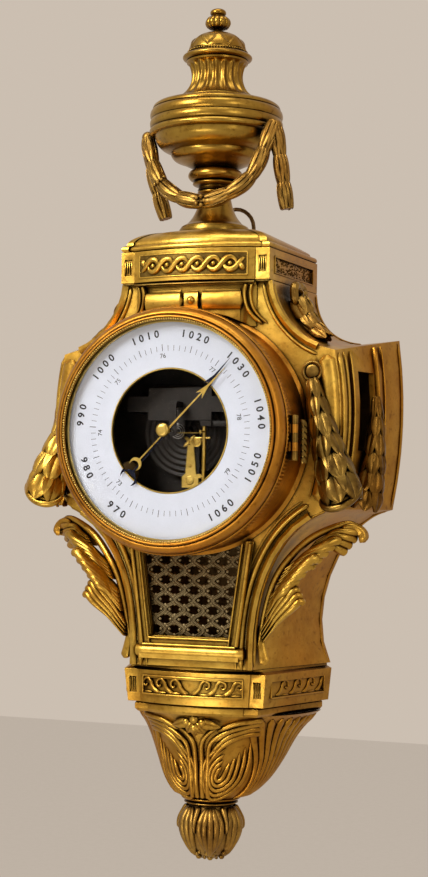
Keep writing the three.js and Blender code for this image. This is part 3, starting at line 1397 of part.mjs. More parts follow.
function acanthus() {
  const place = ([x, y, z]) => point(hipHalfFront + x * leafSpan, -caseDepth + y * leafDepth,
    leafTop - z * leafLength);
  const stem = new THREE.CatmullRomCurve3(stemShares.map(place)).getPoints(edgeShares.length - 1);
  const across = 3;
  const rings = edgeShares.map((shares, k) => {
    const edge = place(shares);
    const front = [];
    const back = [];
    for (let i = 0; i <= across; i++) {
      const share = i / across;
      const middle = stem[k].clone().lerp(edge, share);
      const half = leafThick * (1 - share * 0.6) / 2;
      front.push(point(middle.x, middle.y - half - (i === 1 ? half : 0), middle.z));
      back.unshift(point(middle.x, middle.y + half, middle.z));
    }
    return front.concat(back);
  });
  return loft(rings, inPlan);
}

// Assembly.

const barometer = new THREE.Group();
const add = (name, geometry, material, parent = barometer) => {
  const mesh = piece(name, geometry, material);
  parent.add(mesh);
  return mesh;
};

add("case_body", caseBody(), finish.gilt);
add("back_plate", backPlate(), finish.brass);
add("movement_drum", movementDrum(), finish.gilt);
add("hinge_bracket", hingeBracket(), finish.gilt);
add("hinge_pin", hingePin(), finish.brass);
add("bezel", bezel(), finish.gilt);
add("bead_ring", beadRing(), finish.brass);
add("glass", glassPane(), finish.glass);
add("dial", dialRing(), finish.enamel);
add("dial_rim", dialRim(), finish.brass);

const hands = new THREE.Group();
hands.rotation.y = pointerAngle * degree;
barometer.add(hands);
add("pointer", pointerHand(), finish.blued, hands);
add("pointer_arbor", pointerArbor(), finish.steel, hands);
const setting = new THREE.Group();
setting.rotation.y = setHandAngle * degree;
barometer.add(setting);
add("set_hand", setHand(), finish.brass, setting);
add("set_knob", setKnob(), finish.brass, setting);

add("movement_plate", movementPlate(), finish.blackened);
add("adjusting_screw", adjustingScrew(), finish.steel);
add("capsule_base", corrugated(-1), finish.blackened);
add("capsule_top", corrugated(1), finish.blackened);
add("capsule_post", capsulePost(), finish.steel);
add("spring_bridge", springBridge(), finish.blackened);
add("main_spring", mainSpring(), finish.blued);
add("main_lever", mainLever(), finish.steel);
add("lever_end", leverEnd(), finish.brass);
add("link_rod", linkRod(), finish.brass);
add("regulator_shaft", regulatorShaft(), finish.brass);
add("regulator_bracket", regulatorBracket(), finish.blackened);
add("fusee_chain", fuseeChain(), finish.brass);
add("arbor_cock", arborCock(), finish.blackened);
add("hairspring", hairSpring(), finish.steel);

add("upper_neck", upperNeck(), finish.gilt);
add("upper_frieze", upperFrieze(), finish.gilt);
add("cap", cap(), finish.gilt);
add("hanging_loop", hangingLoop(), finish.steel);
add("grille", grille(), finish.grille);
add("grille_frame", grilleFrame(), finish.gilt);
add("lower_frieze", lowerFrieze(), finish.gilt);
add("lower_moulding", lowerMoulding(), finish.gilt);
add("bowl", bowl(), finish.gilt);
add("bud_finial", budFinial(), finish.gilt);
add("lower_tie_rod", tieRod(budAxis, budTop - budHeight * 0.28, caseBottom + wall + nutThick * 2),
  finish.steel);
add("lower_nut", nut(budAxis, caseBottom + wall + seatGap), finish.brass);

const urn = new THREE.Group();
urn.position.set(0, -urnAxis, 0);
barometer.add(urn);
const stacked = (name, geometry, bottom) => {
  add(name, geometry, finish.gilt, urn).position.z = bottom;
};
stacked("urn_foot", urnFoot(), footBottom);
stacked("urn_body", urnBody(), bodyBottom);
stacked("urn_neck", urnNeck(), neckBottom);
stacked("urn_lid", urnLid(), lidBottom);
stacked("urn_finial", urnFinial(), finialBottom);
add("urn_garland", fuse(urnSwag(), ...tailShares.map(swagTail)), finish.gilt, urn);
add("urn_tie_rod", tieRod(urnAxis, caseTop - wall - nutThick * 2, finialBottom + urnFinialHeight * 0.28),
  finish.steel);
add("urn_nut", nut(urnAxis, caseTop - wall - seatGap - nutThick), finish.brass);

add("ear_laurel_right", earLaurel(1), finish.gilt);
add("ear_laurel_left", earLaurel(-1), finish.gilt);
for (const [name, made] of [["side_laurel", sideLaurel()], ["shoulder_drop", shoulderDrop()],
  ["acanthus_leaf", acanthus()]]) {
  add(name + "_right", seated(made), finish.gilt);
  add(name + "_left", seated(mirrored(made)), finish.gilt);
}

export default barometer;
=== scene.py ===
"""Looks of the wall barometer: gilt bronze, a white dial with plain numbers, and the cast ornament."""
import json
import math
import random

import bmesh
import bpy
from mathutils import Matrix, Vector

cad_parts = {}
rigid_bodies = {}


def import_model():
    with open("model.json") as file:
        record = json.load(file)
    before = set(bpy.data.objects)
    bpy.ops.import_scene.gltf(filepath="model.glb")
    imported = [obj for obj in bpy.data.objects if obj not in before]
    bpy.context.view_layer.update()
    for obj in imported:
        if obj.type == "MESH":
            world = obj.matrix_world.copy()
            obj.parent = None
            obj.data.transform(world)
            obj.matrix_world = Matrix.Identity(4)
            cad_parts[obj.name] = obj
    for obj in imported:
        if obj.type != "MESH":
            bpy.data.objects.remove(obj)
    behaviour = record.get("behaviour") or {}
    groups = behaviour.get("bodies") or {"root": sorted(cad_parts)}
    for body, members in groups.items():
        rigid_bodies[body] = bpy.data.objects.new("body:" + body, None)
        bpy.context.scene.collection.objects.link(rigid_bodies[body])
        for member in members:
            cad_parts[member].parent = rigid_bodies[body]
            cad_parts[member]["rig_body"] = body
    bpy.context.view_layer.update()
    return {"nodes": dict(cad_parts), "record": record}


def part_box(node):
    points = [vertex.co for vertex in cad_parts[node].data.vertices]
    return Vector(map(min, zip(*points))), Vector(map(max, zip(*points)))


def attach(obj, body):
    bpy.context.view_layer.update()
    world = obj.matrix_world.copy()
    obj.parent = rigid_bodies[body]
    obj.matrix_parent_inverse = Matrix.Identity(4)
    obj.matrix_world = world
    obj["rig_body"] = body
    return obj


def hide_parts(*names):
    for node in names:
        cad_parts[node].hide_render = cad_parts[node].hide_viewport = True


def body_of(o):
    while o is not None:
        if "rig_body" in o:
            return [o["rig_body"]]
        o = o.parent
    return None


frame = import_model()
nodes = frame["nodes"]
rng = random.Random(7)
MM = 0.001
TAU = 2 * math.pi
FORWARD, UPWARD = Vector((0, -1, 0)), Vector((0, 0, 1))


# Materials

def feed(tree, node, inputs):
    """Give inputs of a shader node a number, a colour or the output of another node."""
    for key, value in inputs.items():
        socket = node.inputs[key]
        if isinstance(value, bpy.types.NodeSocket):
            tree.links.new(value, socket)
        else:
            socket.default_value = (*value, 1) if socket.type == "RGBA" else value


def put(tree, kind, inputs):
    """A new shader node with these inputs."""
    node = tree.nodes.new("ShaderNode" + kind)
    feed(tree, node, inputs)
    return node


def material(name, base, rough, metal, build):
    mat = bpy.data.materials.new(name)
    mat.use_nodes = True
    mat.diffuse_color = (*base, 1)
    shader = mat.node_tree.nodes["Principled BSDF"]
    feed(mat.node_tree, shader, {"Roughness": rough, "Metallic": metal, "Base Color": base})
    build(mat.node_tree, shader)
    return mat


def noise(tree, scale, detail, rough):
    place = put(tree, "TexCoord", {}).outputs["Object"]
    node = put(tree, "TexNoise", {"Vector": place, "Scale": scale, "Detail": detail, "Roughness": rough})
    return node.outputs["Fac"]


def ramp(tree, value, stops):
    node = tree.nodes.new("ShaderNodeValToRGB")
    elements = node.color_ramp.elements
    while len(elements) < len(stops):
        elements.new(0.5)
    for element, (place, colour) in zip(elements, stops):
        element.position = place
        element.color = (*colour, 1)
    feed(tree, node, {"Fac": value})
    return node.outputs["Color"]


def mixed(tree, first, second, factor, blend="MIX"):
    node = tree.nodes.new("ShaderNodeMix")
    node.data_type = "RGBA"
    node.blend_type = blend
    feed(tree, node, {"Factor": factor, "A": first, "B": second})
    return node.outputs["Result"]


def spread(tree, value, low, high):
    return put(tree, "MapRange", {"To Min": low, "To Max": high, "Value": value}).outputs["Result"]


def bumped(tree, value, strength, distance):
    return put(tree, "Bump", {"Strength": strength, "Distance": distance,
                              "Height": value}).outputs["Normal"]


def nearness(tree, front, back):
    """The share of the way from one depth in front of the wall to another, for each point of a piece."""
    place = put(tree, "TexCoord", {}).outputs["Object"]
    depth = put(tree, "SeparateXYZ", {"Vector": place}).outputs["Y"]
    return put(tree, "MapRange", {"From Min": front, "From Max": back, "Value": depth}).outputs["Result"]


WHITE, DARK = (1, 1, 1), (0, 0, 0)
# depths between which the painted shade towards the wall grows
FRONT_DEPTH, SIDE_DEPTH = -0.095, -0.055
CAST_GRAIN, TOOL_GRAIN = 0.0007, 0.0003


def gilding(light, dark, recess_shade, grain=170.0, bump=0.3, reach=0.007, rough=(0.2, 0.46),
            wall_shade=(0.74, 0.58, 0.42)):
    """Warm metal: cloudy wear, painted shade in the recesses where ambient occlusion finds them, painted
    shade that turns it darker and redder towards the wall, a fine cast grain.
    """
    def build(tree, shader):
        cloud = noise(tree, 60.0, 8.0, 0.68)
        worn = ramp(tree, cloud, [(0.3, dark), (0.68, light)])
        spots = ramp(tree, noise(tree, 260.0, 3.0, 0.5), [(0.27, (0.4, 0.32, 0.22)), (0.42, WHITE)])
        patches = ramp(tree, noise(tree, 16.0, 4.0, 0.6), [(0.42, WHITE), (0.66, (0.88, 0.62, 0.4))])
        # painted shade: the nearer the wall a point lies, the darker and redder the metal is made, as shade
        # on the sides
        sides = ramp(tree, nearness(tree, FRONT_DEPTH, SIDE_DEPTH), [(0.0, WHITE), (1.0, wall_shade)])
        for stain, share in ((spots, 0.6), (patches, 0.5), (sides, 1.0)):
            worn = mixed(tree, worn, stain, share, "MULTIPLY")
        # painted shade: the dark recess colour is laid into hollows by ambient occlusion
        occlusion = put(tree, "AmbientOcclusion", {"Distance": reach})
        occlusion.samples = 6
        shade = ramp(tree, occlusion.outputs["AO"], [(0.42, DARK), (0.94, WHITE)])
        feed(tree, shader, {"Base Color": mixed(tree, recess_shade, worn, shade),
                            "Roughness": spread(tree, cloud, *rough),
                            "Normal": bumped(tree, noise(tree, grain, 6.0, 0.65), bump, CAST_GRAIN)})
    return build


def worked(light, dark, scale=320.0, rough=(0.2, 0.42), bump=0.12):
    """A machined or painted surface: a fine grain, faint stains and a varying shine."""
    def build(tree, shader):
        grain, cloud = noise(tree, scale, 5.0, 0.6), noise(tree, 60.0, 4.0, 0.55)
        tone = mixed(tree, ramp(tree, grain, [(0.32, dark), (0.66, light)]),
                     ramp(tree, cloud, [(0.34, dark), (0.6, light)]), 0.5)
        feed(tree, shader, {"Base Color": tone, "Roughness": spread(tree, cloud, *rough),
                            "Normal": bumped(tree, grain, bump, TOOL_GRAIN)})
    return build


GILT = material("gilt", (0.7, 0.45, 0.12), 0.35, 1.0,
                gilding((0.72, 0.47, 0.085), (0.44, 0.25, 0.035), (0.035, 0.015, 0.003)))
GILT_SIDE = material("gilt_side", (0.5, 0.27, 0.06), 0.4, 1.0,
                     gilding((0.60, 0.29, 0.04), (0.38, 0.165, 0.02), (0.04, 0.016, 0.003),
                             rough=(0.24, 0.46), wall_shade=(0.7, 0.6, 0.5)))
# Darker gilt: the matt aged pieces, and also painted shade where the right-hand laurels and hinge pieces
# take it in place of the plain gilt
AGED_AND_SHADED = material("aged_and_shaded_gilt", (0.4, 0.25, 0.07), 0.42, 1.0,
                gilding((0.36, 0.23, 0.05), (0.09, 0.052, 0.014), (0.008, 0.005, 0.002), bump=0.2,
                        reach=0.006, rough=(0.2, 0.42)))
URN_BRASS = material("urn_brass", (0.6, 0.47, 0.16), 0.35, 1.0,
                     gilding((0.50, 0.32, 0.06), (0.33, 0.195, 0.03), (0.03, 0.015, 0.003), bump=0.1,
                             rough=(0.2, 0.4), wall_shade=(0.82, 0.74, 0.64)))
LEAFY = material("leaf_gilt", (0.6, 0.4, 0.12), 0.4, 1.0,
                 gilding((0.50, 0.31, 0.07), (0.20, 0.11, 0.026), (0.03, 0.015, 0.005), grain=240.0,
                         reach=0.005, rough=(0.28, 0.5), wall_shade=(0.92, 0.88, 0.8)))
BRASS = material("polished_brass", (0.72, 0.52, 0.2), 0.22, 1.0,
                 worked((0.70, 0.50, 0.13), (0.44, 0.30, 0.06)))
DARK_BRONZE = material("dark_bronze", (0.2, 0.15, 0.08), 0.5, 0.9,
                       gilding((0.30, 0.235, 0.12), (0.15, 0.115, 0.055), (0.016, 0.012, 0.006), bump=0.2,
                               reach=0.004, rough=(0.36, 0.55)))
BLACK = material("blackened", (0.02, 0.018, 0.016), 0.38, 0.5,
                 worked((0.017, 0.013, 0.010), (0.006, 0.0045, 0.0035), 240.0, rough=(0.34, 0.55)))
STEEL = material("steel", (0.42, 0.42, 0.42), 0.3, 1.0, worked((0.48, 0.47, 0.45), (0.3, 0.29, 0.28)))
BLUED = material("blued", (0.012, 0.016, 0.035), 0.3, 0.8,
                 worked((0.02, 0.025, 0.05), (0.006, 0.008, 0.02), rough=(0.2, 0.36)))
ENAMEL = material("enamel", (0.66, 0.7, 0.79), 0.22, 0.0,
                  worked((0.62, 0.67, 0.79), (0.57, 0.62, 0.735), 900.0, rough=(0.16, 0.26), bump=0.03))
INK = material("ink", (0.012, 0.012, 0.016), 0.5, 0.0,
               worked((0.016, 0.016, 0.022), (0.006, 0.006, 0.009), 900.0))


def clear_glass(tree, shader):
    smear = spread(tree, noise(tree, 40.0, 4.0, 0.6), 0.0, 0.05)
    feed(tree, shader, {"Transmission Weight": 1.0, "IOR": 1.05, "Alpha": 0.12, "Roughness": smear})


GLASS = material("clear_glass", (1, 1, 1), 0.02, 0.0, clear_glass)

slot_of = {part["node"]: part["material_slot"] for part in frame["record"]["subparts"]}
by_slot = {"gilt_bronze": GILT, "brass": BRASS, "bronze_grille": DARK_BRONZE, "blackened_steel": BLACK,
           "steel": STEEL, "blued_steel": BLUED, "dial_white": ENAMEL, "glass": GLASS}
own = {name: finish for finish, names in (
    (GILT_SIDE, ("movement_drum", "bezel")),
    (DARK_BRONZE, ("hanging_loop", "back_plate")),
    # painted shade: the right-hand laurels and hinge in the darker gilt
    (AGED_AND_SHADED, ("ear_laurel_right", "side_laurel_right", "hinge_bracket", "hinge_pin")),
    (LEAFY, ("shoulder_drop_right", "bud_finial")),
    (BRASS, ("lever_end", "link_rod", "regulator_shaft")),
    (BLACK, ("capsule_base", "capsule_top", "capsule_post", "movement_plate", "spring_bridge",
             "main_spring", "main_lever", "regulator_bracket", "arbor_cock")),
    (URN_BRASS, [name for name in nodes if name.startswith("urn_")])) for name in names}


def finish_of(name):
    return own.get(name, by_slot[slot_of[name]])


for name in slot_of:
    nodes[name].data.materials.clear()
    nodes[name].data.materials.append(finish_of(name))


# Mesh helpers, in millimetres

def link_up(obj, body):
    bpy.context.scene.collection.objects.link(obj)
    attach(obj, body)
    return obj


class Pile:
    """Vertices and faces of one piece, gathered bit by bit."""

    def __init__(self):
        self.verts, self.faces = [], []

    def add(self, verts, faces):
        base = len(self.verts)
        self.verts.extend(tuple(v) for v in verts)
        self.faces.extend(tuple(i + base for i in f) for f in faces)

    def done(self, name, mat, body="case", sharp=38.0):
        """A piece that is added to the CAD ones."""
        data = bpy.data.meshes.new(name)
        data.from_pydata([(x * MM, y * MM, z * MM) for x, y, z in self.verts], [], self.faces)
        work = bmesh.new()
        work.from_mesh(data)
        bmesh.ops.remove_doubles(work, verts=work.verts, dist=1e-6)
        bmesh.ops.recalc_face_normals(work, faces=work.faces)
        work.to_mesh(data)
        work.free()
        data.validate()
        data.shade_smooth()
        data.set_sharp_from_angle(angle=math.radians(sharp))
        data.materials.append(mat)
        return link_up(bpy.data.objects.new(name, data), body)

    def stands_for(self, name, node, mat=None, sharp=38.0):
        """A piece that takes the place of a CAD one."""
        obj = self.done(name, mat or finish_of(node), body_of(nodes[node])[0], sharp)
        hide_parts(node)
        return obj


def softened(node, width, angle=30.0):
    """A copy of a CAD piece with its flat facets merged, its edges rounded and its curves shaded smooth."""
    data = nodes[node].data.copy()
    work = bmesh.new()
    work.from_mesh(data)
    bmesh.ops.remove_doubles(work, verts=work.verts, dist=2e-6)
    bmesh.ops.dissolve_limit(work, angle_limit=math.radians(1.0), verts=work.verts, edges=work.edges)
    work.to_mesh(data)
    work.free()
    data.shade_smooth()
    data.materials.clear()
    data.materials.append(finish_of(node))
    obj = link_up(bpy.data.objects.new(node + "_smooth", data), body_of(nodes[node])[0])
    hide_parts(node)
    bevel = obj.modifiers.new("edges", "BEVEL")
    bevel.width = width * MM
    bevel.segments = 2
    bevel.limit_method = "ANGLE"
    bevel.angle_limit = math.radians(angle)
    bevel.use_clamp_overlap = True
    bevel.harden_normals = True
    data.set_sharp_from_angle(angle=math.radians(angle))
    return obj


def through(points, per=5):
    """Points of a smooth curve through the given ones."""
    pts = [Vector(p) for p in points]
    if len(pts) < 3:
        return pts
    ends = [pts[0] * 2 - pts[1]] + pts + [pts[-1] * 2 - pts[-2]]
    out = []
    for i in range(len(pts) - 1):
        a, b, c, d = ends[i:i + 4]
        for k in range(per):
            t = k / per
            out.append(0.5 * ((2 * b) + (c - a) * t + (2 * a - 5 * b + 4 * c - d) * t * t
                              + (3 * b - a - 3 * c + d) * t ** 3))
    return out + [pts[-1]]


def flat(points, per=5):
    """The same for points in a plane, as plain pairs."""
    return [tuple(p) for p in through(points, per)]


def in_mm(box):
    """The two corners of a box, in millimetres."""
    return [tuple(v / MM for v in corner) for corner in box]


def profile(*runs):
    """One outline made of smooth runs that meet in corners."""
    return [point for run in runs for point in flat(run)]


def turn(pile, outline, axis="z", centre=(0, 0), segments=128, relief=None):
    """A solid of revolution from a closed outline of radius and height; along Y the height runs forward."""
    count = len(outline)
    verts = []
    for k in range(segments):
        a = TAU * k / segments
        for r, h in outline:
            grow = relief(a, r, h) if relief else 0
            x, w = math.cos(a) * (r + grow), math.sin(a) * (r + grow)
            x, w = centre[0] + x, centre[1] + w
            verts.append((x, w, h) if axis == "z" else (x, -h, w))
    faces = []
    for k in range(segments):
        here, there = k * count, (k + 1) % segments * count
        for j in range(count):
            n = (j + 1) % count
            if outline[j][0] < 1e-6 and outline[n][0] < 1e-6:
                continue
            faces.append((here + j, here + n, there + n, there + j))
    pile.add(verts, faces)


def meridian(node):
    """The closed outline of a CAD piece turned about Y, as radius and height."""
    data = nodes[node].data
    place = []
    for v in data.vertices:
        x, y, z = v.co / MM
        place.append((round(math.hypot(x, z) * 10) / 10, round(-y * 10) / 10))
    links = {}
    for edge in data.edges:
        a, b = (place[i] for i in edge.vertices)
        if a != b:
            links.setdefault(a, set()).add(b)
            links.setdefault(b, set()).add(a)
    start = max(links)
    loop, last = [start], None
    while True:
        ways = [p for p in sorted(links[loop[-1]]) if p != last]
        if ways[0] == start:
            return loop
        last = loop[-1]
        loop.append(ways[0])


def box_shape(low, high):
    (x0, y0, z0), (x1, y1, z1) = low, high
    verts = [(x, y, z) for x in (x0, x1) for y in (y0, y1) for z in (z0, z1)]
    faces = [(0, 1, 3, 2), (4, 6, 7, 5), (0, 4, 5, 1), (2, 3, 7, 6), (0, 2, 6, 4), (1, 5, 7, 3)]
    return verts, faces


def tangents(path):
    last = len(path) - 1
    return [(path[min(i + 1, last)] - path[max(i - 1, 0)]).normalized() for i in range(len(path))]


def ridge(pile, path, normals, width, height, sides=6, ends=(0.15, 0.15), sink=0.4):
    """A half-round bead along a path on a surface; normals is one vector or one for each point."""
    if isinstance(normals, Vector):
        normals = [normals] * len(path)
    rows = []
    last = len(path) - 1
    for i, (p, t, n) in enumerate(zip(path, tangents(path), normals)):
        share = i / last
        size = 1.0
        if ends[0] and share < ends[0]:
            size = math.sin(math.pi / 2 * max(share / ends[0], 0.08)) ** 0.7
        if ends[1] and 1 - share < ends[1]:
            size = min(size, math.sin(math.pi / 2 * max((1 - share) / ends[1], 0.08)) ** 0.7)
        w = (width(share) if callable(width) else width) * size / 2
        h = (height(share) if callable(height) else height) * size
        side = t.cross(n).normalized()
        out = side.cross(t).normalized()
        row = []
        for k in range(sides + 1):
            a = math.pi * k / sides
            row.append(p + side * (math.cos(a) * w) + out * (math.sin(a) * h - sink * (k in (0, sides))))
        rows.append(row)
    count = sides + 1
    verts = [v for row in rows for v in row]
    faces = []
    for i in range(last):
        for k in range(count):
            j = (k + 1) % count
            faces.append((i * count + k, (i + 1) * count + k, (i + 1) * count + j, i * count + j))
    faces.append(tuple(range(count)))
    faces.append(tuple(last * count + k for k in reversed(range(count))))
    pile.add(verts, faces)


def ridge_on(pile, spots, *shape):
    """A ridge along points that bring their own normals."""
    ridge(pile, [p for p, _ in spots], [n for _, n in spots], *shape)


def rings(pile, verts, around, last):
    """A closed body from rings of points, one after another."""
    faces = [(j * around + k, j * around + (k + 1) % around, (j + 1) * around + (k + 1) % around,
              (j + 1) * around + k)
             for j in range(last) for k in range(around)]
    faces += [tuple(range(around)), tuple(last * around + k for k in range(around))]
    pile.add(verts, faces)


def ball(pile, centre, radius, rows=6, sides=10, flat=1.0):
    """A small round boss, flattened along Y where wanted."""
    centre = Vector(centre)
    verts, faces = [centre + Vector((0, 0, radius))], []
    for i in range(1, rows):
        tilt = math.pi * i / rows
        for k in range(sides):
            a = TAU * k / sides
            verts.append(centre + Vector((math.cos(a) * math.sin(tilt), math.sin(a) * math.sin(tilt) * flat,
                                          math.cos(tilt))) * radius)
    verts.append(centre - Vector((0, 0, radius)))
    for k in range(sides):
        j = (k + 1) % sides
        faces.append((0, 1 + k, 1 + j))
        for i in range(rows - 2):
            base = 1 + i * sides
            faces.append((base + k, base + sides + k, base + sides + j, base + j))
        base = 1 + (rows - 2) * sides
        faces.append((base + k, len(verts) - 1, base + j))
    pile.add(verts, faces)


def leaf(pile, path, outs, width, thick=0.9, crease=0.5, dome=0.5, blunt=0.75, across=6):
    """A pointed leaf along a path, domed across, with a crease down the middle; outs point outward."""
    rows = []
    last = len(path) - 1
    for i, (p, t, out) in enumerate(zip(path, tangents(path), outs)):
        u = i / last
        half = width / 2 * max(0.06, math.sin(math.pi * min(1, 0.1 + 0.9 * u) ** 1.05)) ** blunt
        side = t.cross(out).normalized()
        up = side.cross(t).normalized()
        row = []
        for k in range(across + 1):
            v = 2 * k / across - 1
            lift = (1 - v * v) * width * dome / 2 - crease * thick * math.exp(-(v / 0.25) ** 2)
            row.append(p + side * (v * half) + up * (lift * half / (width / 2)))
        rows.append((row, up))
    count = across + 1
    top = [v for row, _ in rows for v in row]
    under = [v - up * thick for row, up in rows for v in row]
    faces, size = [], len(top)
    for i in range(last):
        for k in range(across):
            a, b, c, d = i * count + k, (i + 1) * count + k, (i + 1) * count + k + 1, i * count + k + 1
            faces.append((a, b, c, d))
            faces.append((a + size, d + size, c + size, b + size))
    rim = [i * count for i in range(last + 1)] + [last * count + k for k in range(1, count)]
    rim += [i * count + across for i in range(last - 1, -1, -1)] + list(range(across - 1, 0, -1))
    for a, b in zip(rim, rim[1:] + rim[:1]):
        faces.append((a, a + size, b + size, b))
    pile.add(top + under, faces)


def transport(path, first):
    """A normal for each point of a path, carried along without twist from the first one."""
    out, normal = [], first
    for t in tangents(path):
        normal = (normal - t * normal.dot(t)).normalized()
        out.append(normal)
    return out


def strand(pile, points, radius, sides=10):
    """A round rod of varying thickness through the points, with closed ends."""
    outs = transport(points, Vector((0.3, -1, 0.2)))
    ahead = tangents(points)
    last = len(points) - 1
    verts = []
    for i, p in enumerate(points):
        size = radius(i / last) if callable(radius) else radius
        beside = ahead[i].cross(outs[i])
        turns = [TAU * k / sides for k in range(sides)]
        verts += [p + (outs[i] * math.cos(a) + beside * math.sin(a)) * size for a in turns]
    rings(pile, verts, sides, last)


SPREAD, LEAVES_ROUND = TAU * 0.8, 5


def laurel(pile, points, radius, rows, first, reach, width, berries, flare, seed=3):
    """Leaves laid like tiles round a strand, all pointing to its end, with berries between them."""
    fine = through(points, 8)
    steps = len(fine) - 1
    facing = transport(fine, first)
    ahead = tangents(fine)
    chance = random.Random(seed)

    def at(share):
        place = max(0.0, min(share, 1.0)) * steps
        i = min(int(place), steps - 1)
        t = place - i
        extra = max(0.0, share - 1.0) * (fine[-1] - fine[0]).length
        return (fine[i].lerp(fine[i + 1], t) + ahead[-1] * extra,
                facing[i].lerp(facing[i + 1], t).normalized(), ahead[i].lerp(ahead[i + 1], t).normalized())

    strand(pile, fine, lambda s: radius(s) * 0.7)
    for row in range(rows):
        for k in range(LEAVES_ROUND):
            turned = SPREAD * ((k + 0.5 * (row % 2)) / LEAVES_ROUND - 0.5) + chance.uniform(-0.08, 0.08)
            path, outs = [], []
            for step in range(7):
                u = step / 6
                share = (row - 0.4 + u * reach) / rows
                p, normal, way = at(share)
                out = (Matrix.Rotation(turned, 3, way) @ normal).normalized()
                size = radius(min(max(share, 0), 1))
                path.append(p + out * size * (0.6 + flare * math.sin(u * math.pi * 0.62) ** 1.3))
                outs.append(out)
            size = radius(row / rows)
            leaf(pile, path, outs, size * width, thick=size * 0.11, crease=1.3, dome=0.27, blunt=0.62)
            if (row + k) % 2 == 0:
                p, normal, way = at((row + 0.55) / rows)
                out = (Matrix.Rotation(turned + SPREAD / LEAVES_ROUND / 2, 3, way) @ normal).normalized()
                ball(pile, p + out * radius(row / rows) * 0.94, radius(row / rows) * berries, 5, 8)


# Round pieces turned finely again

for name in ("movement_drum", "dial", "dial_rim", "bead_ring"):
    pile = Pile()
    turn(pile, meridian(name), "y", segments=192)
    pile.stands_for(name + "_round", name, sharp=30.0)

MILL_TEETH = 200


def milled(angle, radius, height):
    return 0.22 * math.cos(MILL_TEETH * angle) if radius > 95.2 else 0


BEZEL_OUTLINE = profile(
    [(95.5, 139.2), (95.5, 142.5), (95.5, 146.0)], [(95.3, 146.6), (94.6, 147.3), (94.0, 147.0)],
    [(94.0, 147.0), (94.1, 149.4), (93.3, 152.6), (91.6, 155.2), (89.6, 156.5), (88.5, 156.2)],
    [(88.5, 156.2), (88.1, 155.5), (87.8, 156.0)],
    [(87.8, 156.0), (87.8, 157.3), (87.0, 158.3), (86.1, 158.2), (85.8, 157.2)],
    [(85.8, 157.2), (84.4, 156.6), (84.0, 155.8)], [(87.6, 155.8), (87.6, 148.4)],
    [(87.1, 148.4), (87.1, 139.2)])
pile = Pile()
turn(pile, BEZEL_OUTLINE, "y", segments=800, relief=milled)
(hx0, hy0, hz0), (hx1, hy1, hz1) = in_mm(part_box("hinge_pin"))
knuckle = (hz1 - hz0) / 5
for index in (1, 3):
    low, high = hz0 + index * knuckle + 0.15, hz0 + (index + 1) * knuckle - 0.15
    barrel = [(1.2, low), (2.6, low), (2.6, high), (1.2, high)]
    turn(pile, barrel, "z", ((hx0 + hx1) / 2, (hy0 + hy1) / 2), 32)
    pile.add(*box_shape((94.2, (hy0 + hy1) / 2 - 2.5, low), (96.4, (hy0 + hy1) / 2 - 0.2, high)))
pile.stands_for("bezel_turned", "bezel", sharp=28.0)

pile = Pile()
BEADS, BEAD_CIRCLE = 276, 84.95
for k in range(BEADS):
    a = TAU * k / BEADS
    ball(pile, (math.cos(a) * BEAD_CIRCLE, -157.0, math.sin(a) * BEAD_CIRCLE), 0.86, 5, 8)
pile.done("bezel_beads", BRASS, "bezel_door")

pile = Pile()
GLASS_HOLE, GLASS_RIM, GLASS_BACK, GLASS_FACE = 2.6, 86.2, 153.4, 155.4
turn(pile, [(GLASS_HOLE, GLASS_BACK), (GLASS_RIM, GLASS_BACK), (GLASS_RIM, GLASS_FACE),
            (GLASS_HOLE, GLASS_FACE)],
     "y", segments=128)
pile.stands_for("glass_round", "glass")

for node in ("hinge_bracket", "hinge_pin", "back_plate", "pointer_arbor", "movement_plate",
             "adjusting_screw", "spring_bridge", "main_spring", "main_lever", "link_rod",
             "regulator_shaft", "regulator_bracket", "arbor_cock", "capsule_post"):
    softened(node, 0.12, 30.0)

# Hands: the arrow head sits part way out, a needle runs on from it, and the crescent is wide
HANDS = (("pointer", 42, 46, 60, 4.0, 56, -46, 1.4), ("set_hand", 44.5, 40, 62, 8.0, 47, -30, 1.0))
for node, turned, first, last, shift, neck, tail, grown in HANDS:
    along = Vector((math.sin(math.radians(turned)), 0, math.cos(math.radians(turned))))
    beside = Vector((along.z, 0, -along.x))
    data = softened(node, 0.08, 30.0).data
    for v in data.vertices:
        if first < v.co.dot(along) / MM < last:
            v.co -= along * (shift * MM)
    work = bmesh.new()
    work.from_mesh(data)
    everything = work.verts[:] + work.edges[:] + work.faces[:]
    cut = bmesh.ops.bisect_plane(work, geom=everything, plane_co=along * (neck * MM), plane_no=along)
    for v in cut["geom_cut"]:
        if isinstance(v, bmesh.types.BMVert):
            v.co -= beside * (v.co.dot(beside) * 0.62)
    crescent = [v for v in work.verts if v.co.dot(along) < tail * MM]
    middle = along * (sum(v.co.dot(along) for v in crescent) / len(crescent))
    for v in crescent:
        away = v.co - middle
        away.y = 0
        v.co += away * (grown - 1)
    work.to_mesh(data)
    work.free()


def plate(pile, outline, front, back):
    """A flat plate with an outline in x and z, from one depth to another."""
    count = len(outline)
    verts = [Vector((x, y, z)) for y in (front, back) for x, z in outline]
    faces = [tuple(range(count)), tuple(range(2 * count - 1, count - 1, -1))]
    faces += [(k, count + k, count + (k + 1) % count, (k + 1) % count) for k in range(count)]
    pile.add(verts, faces)


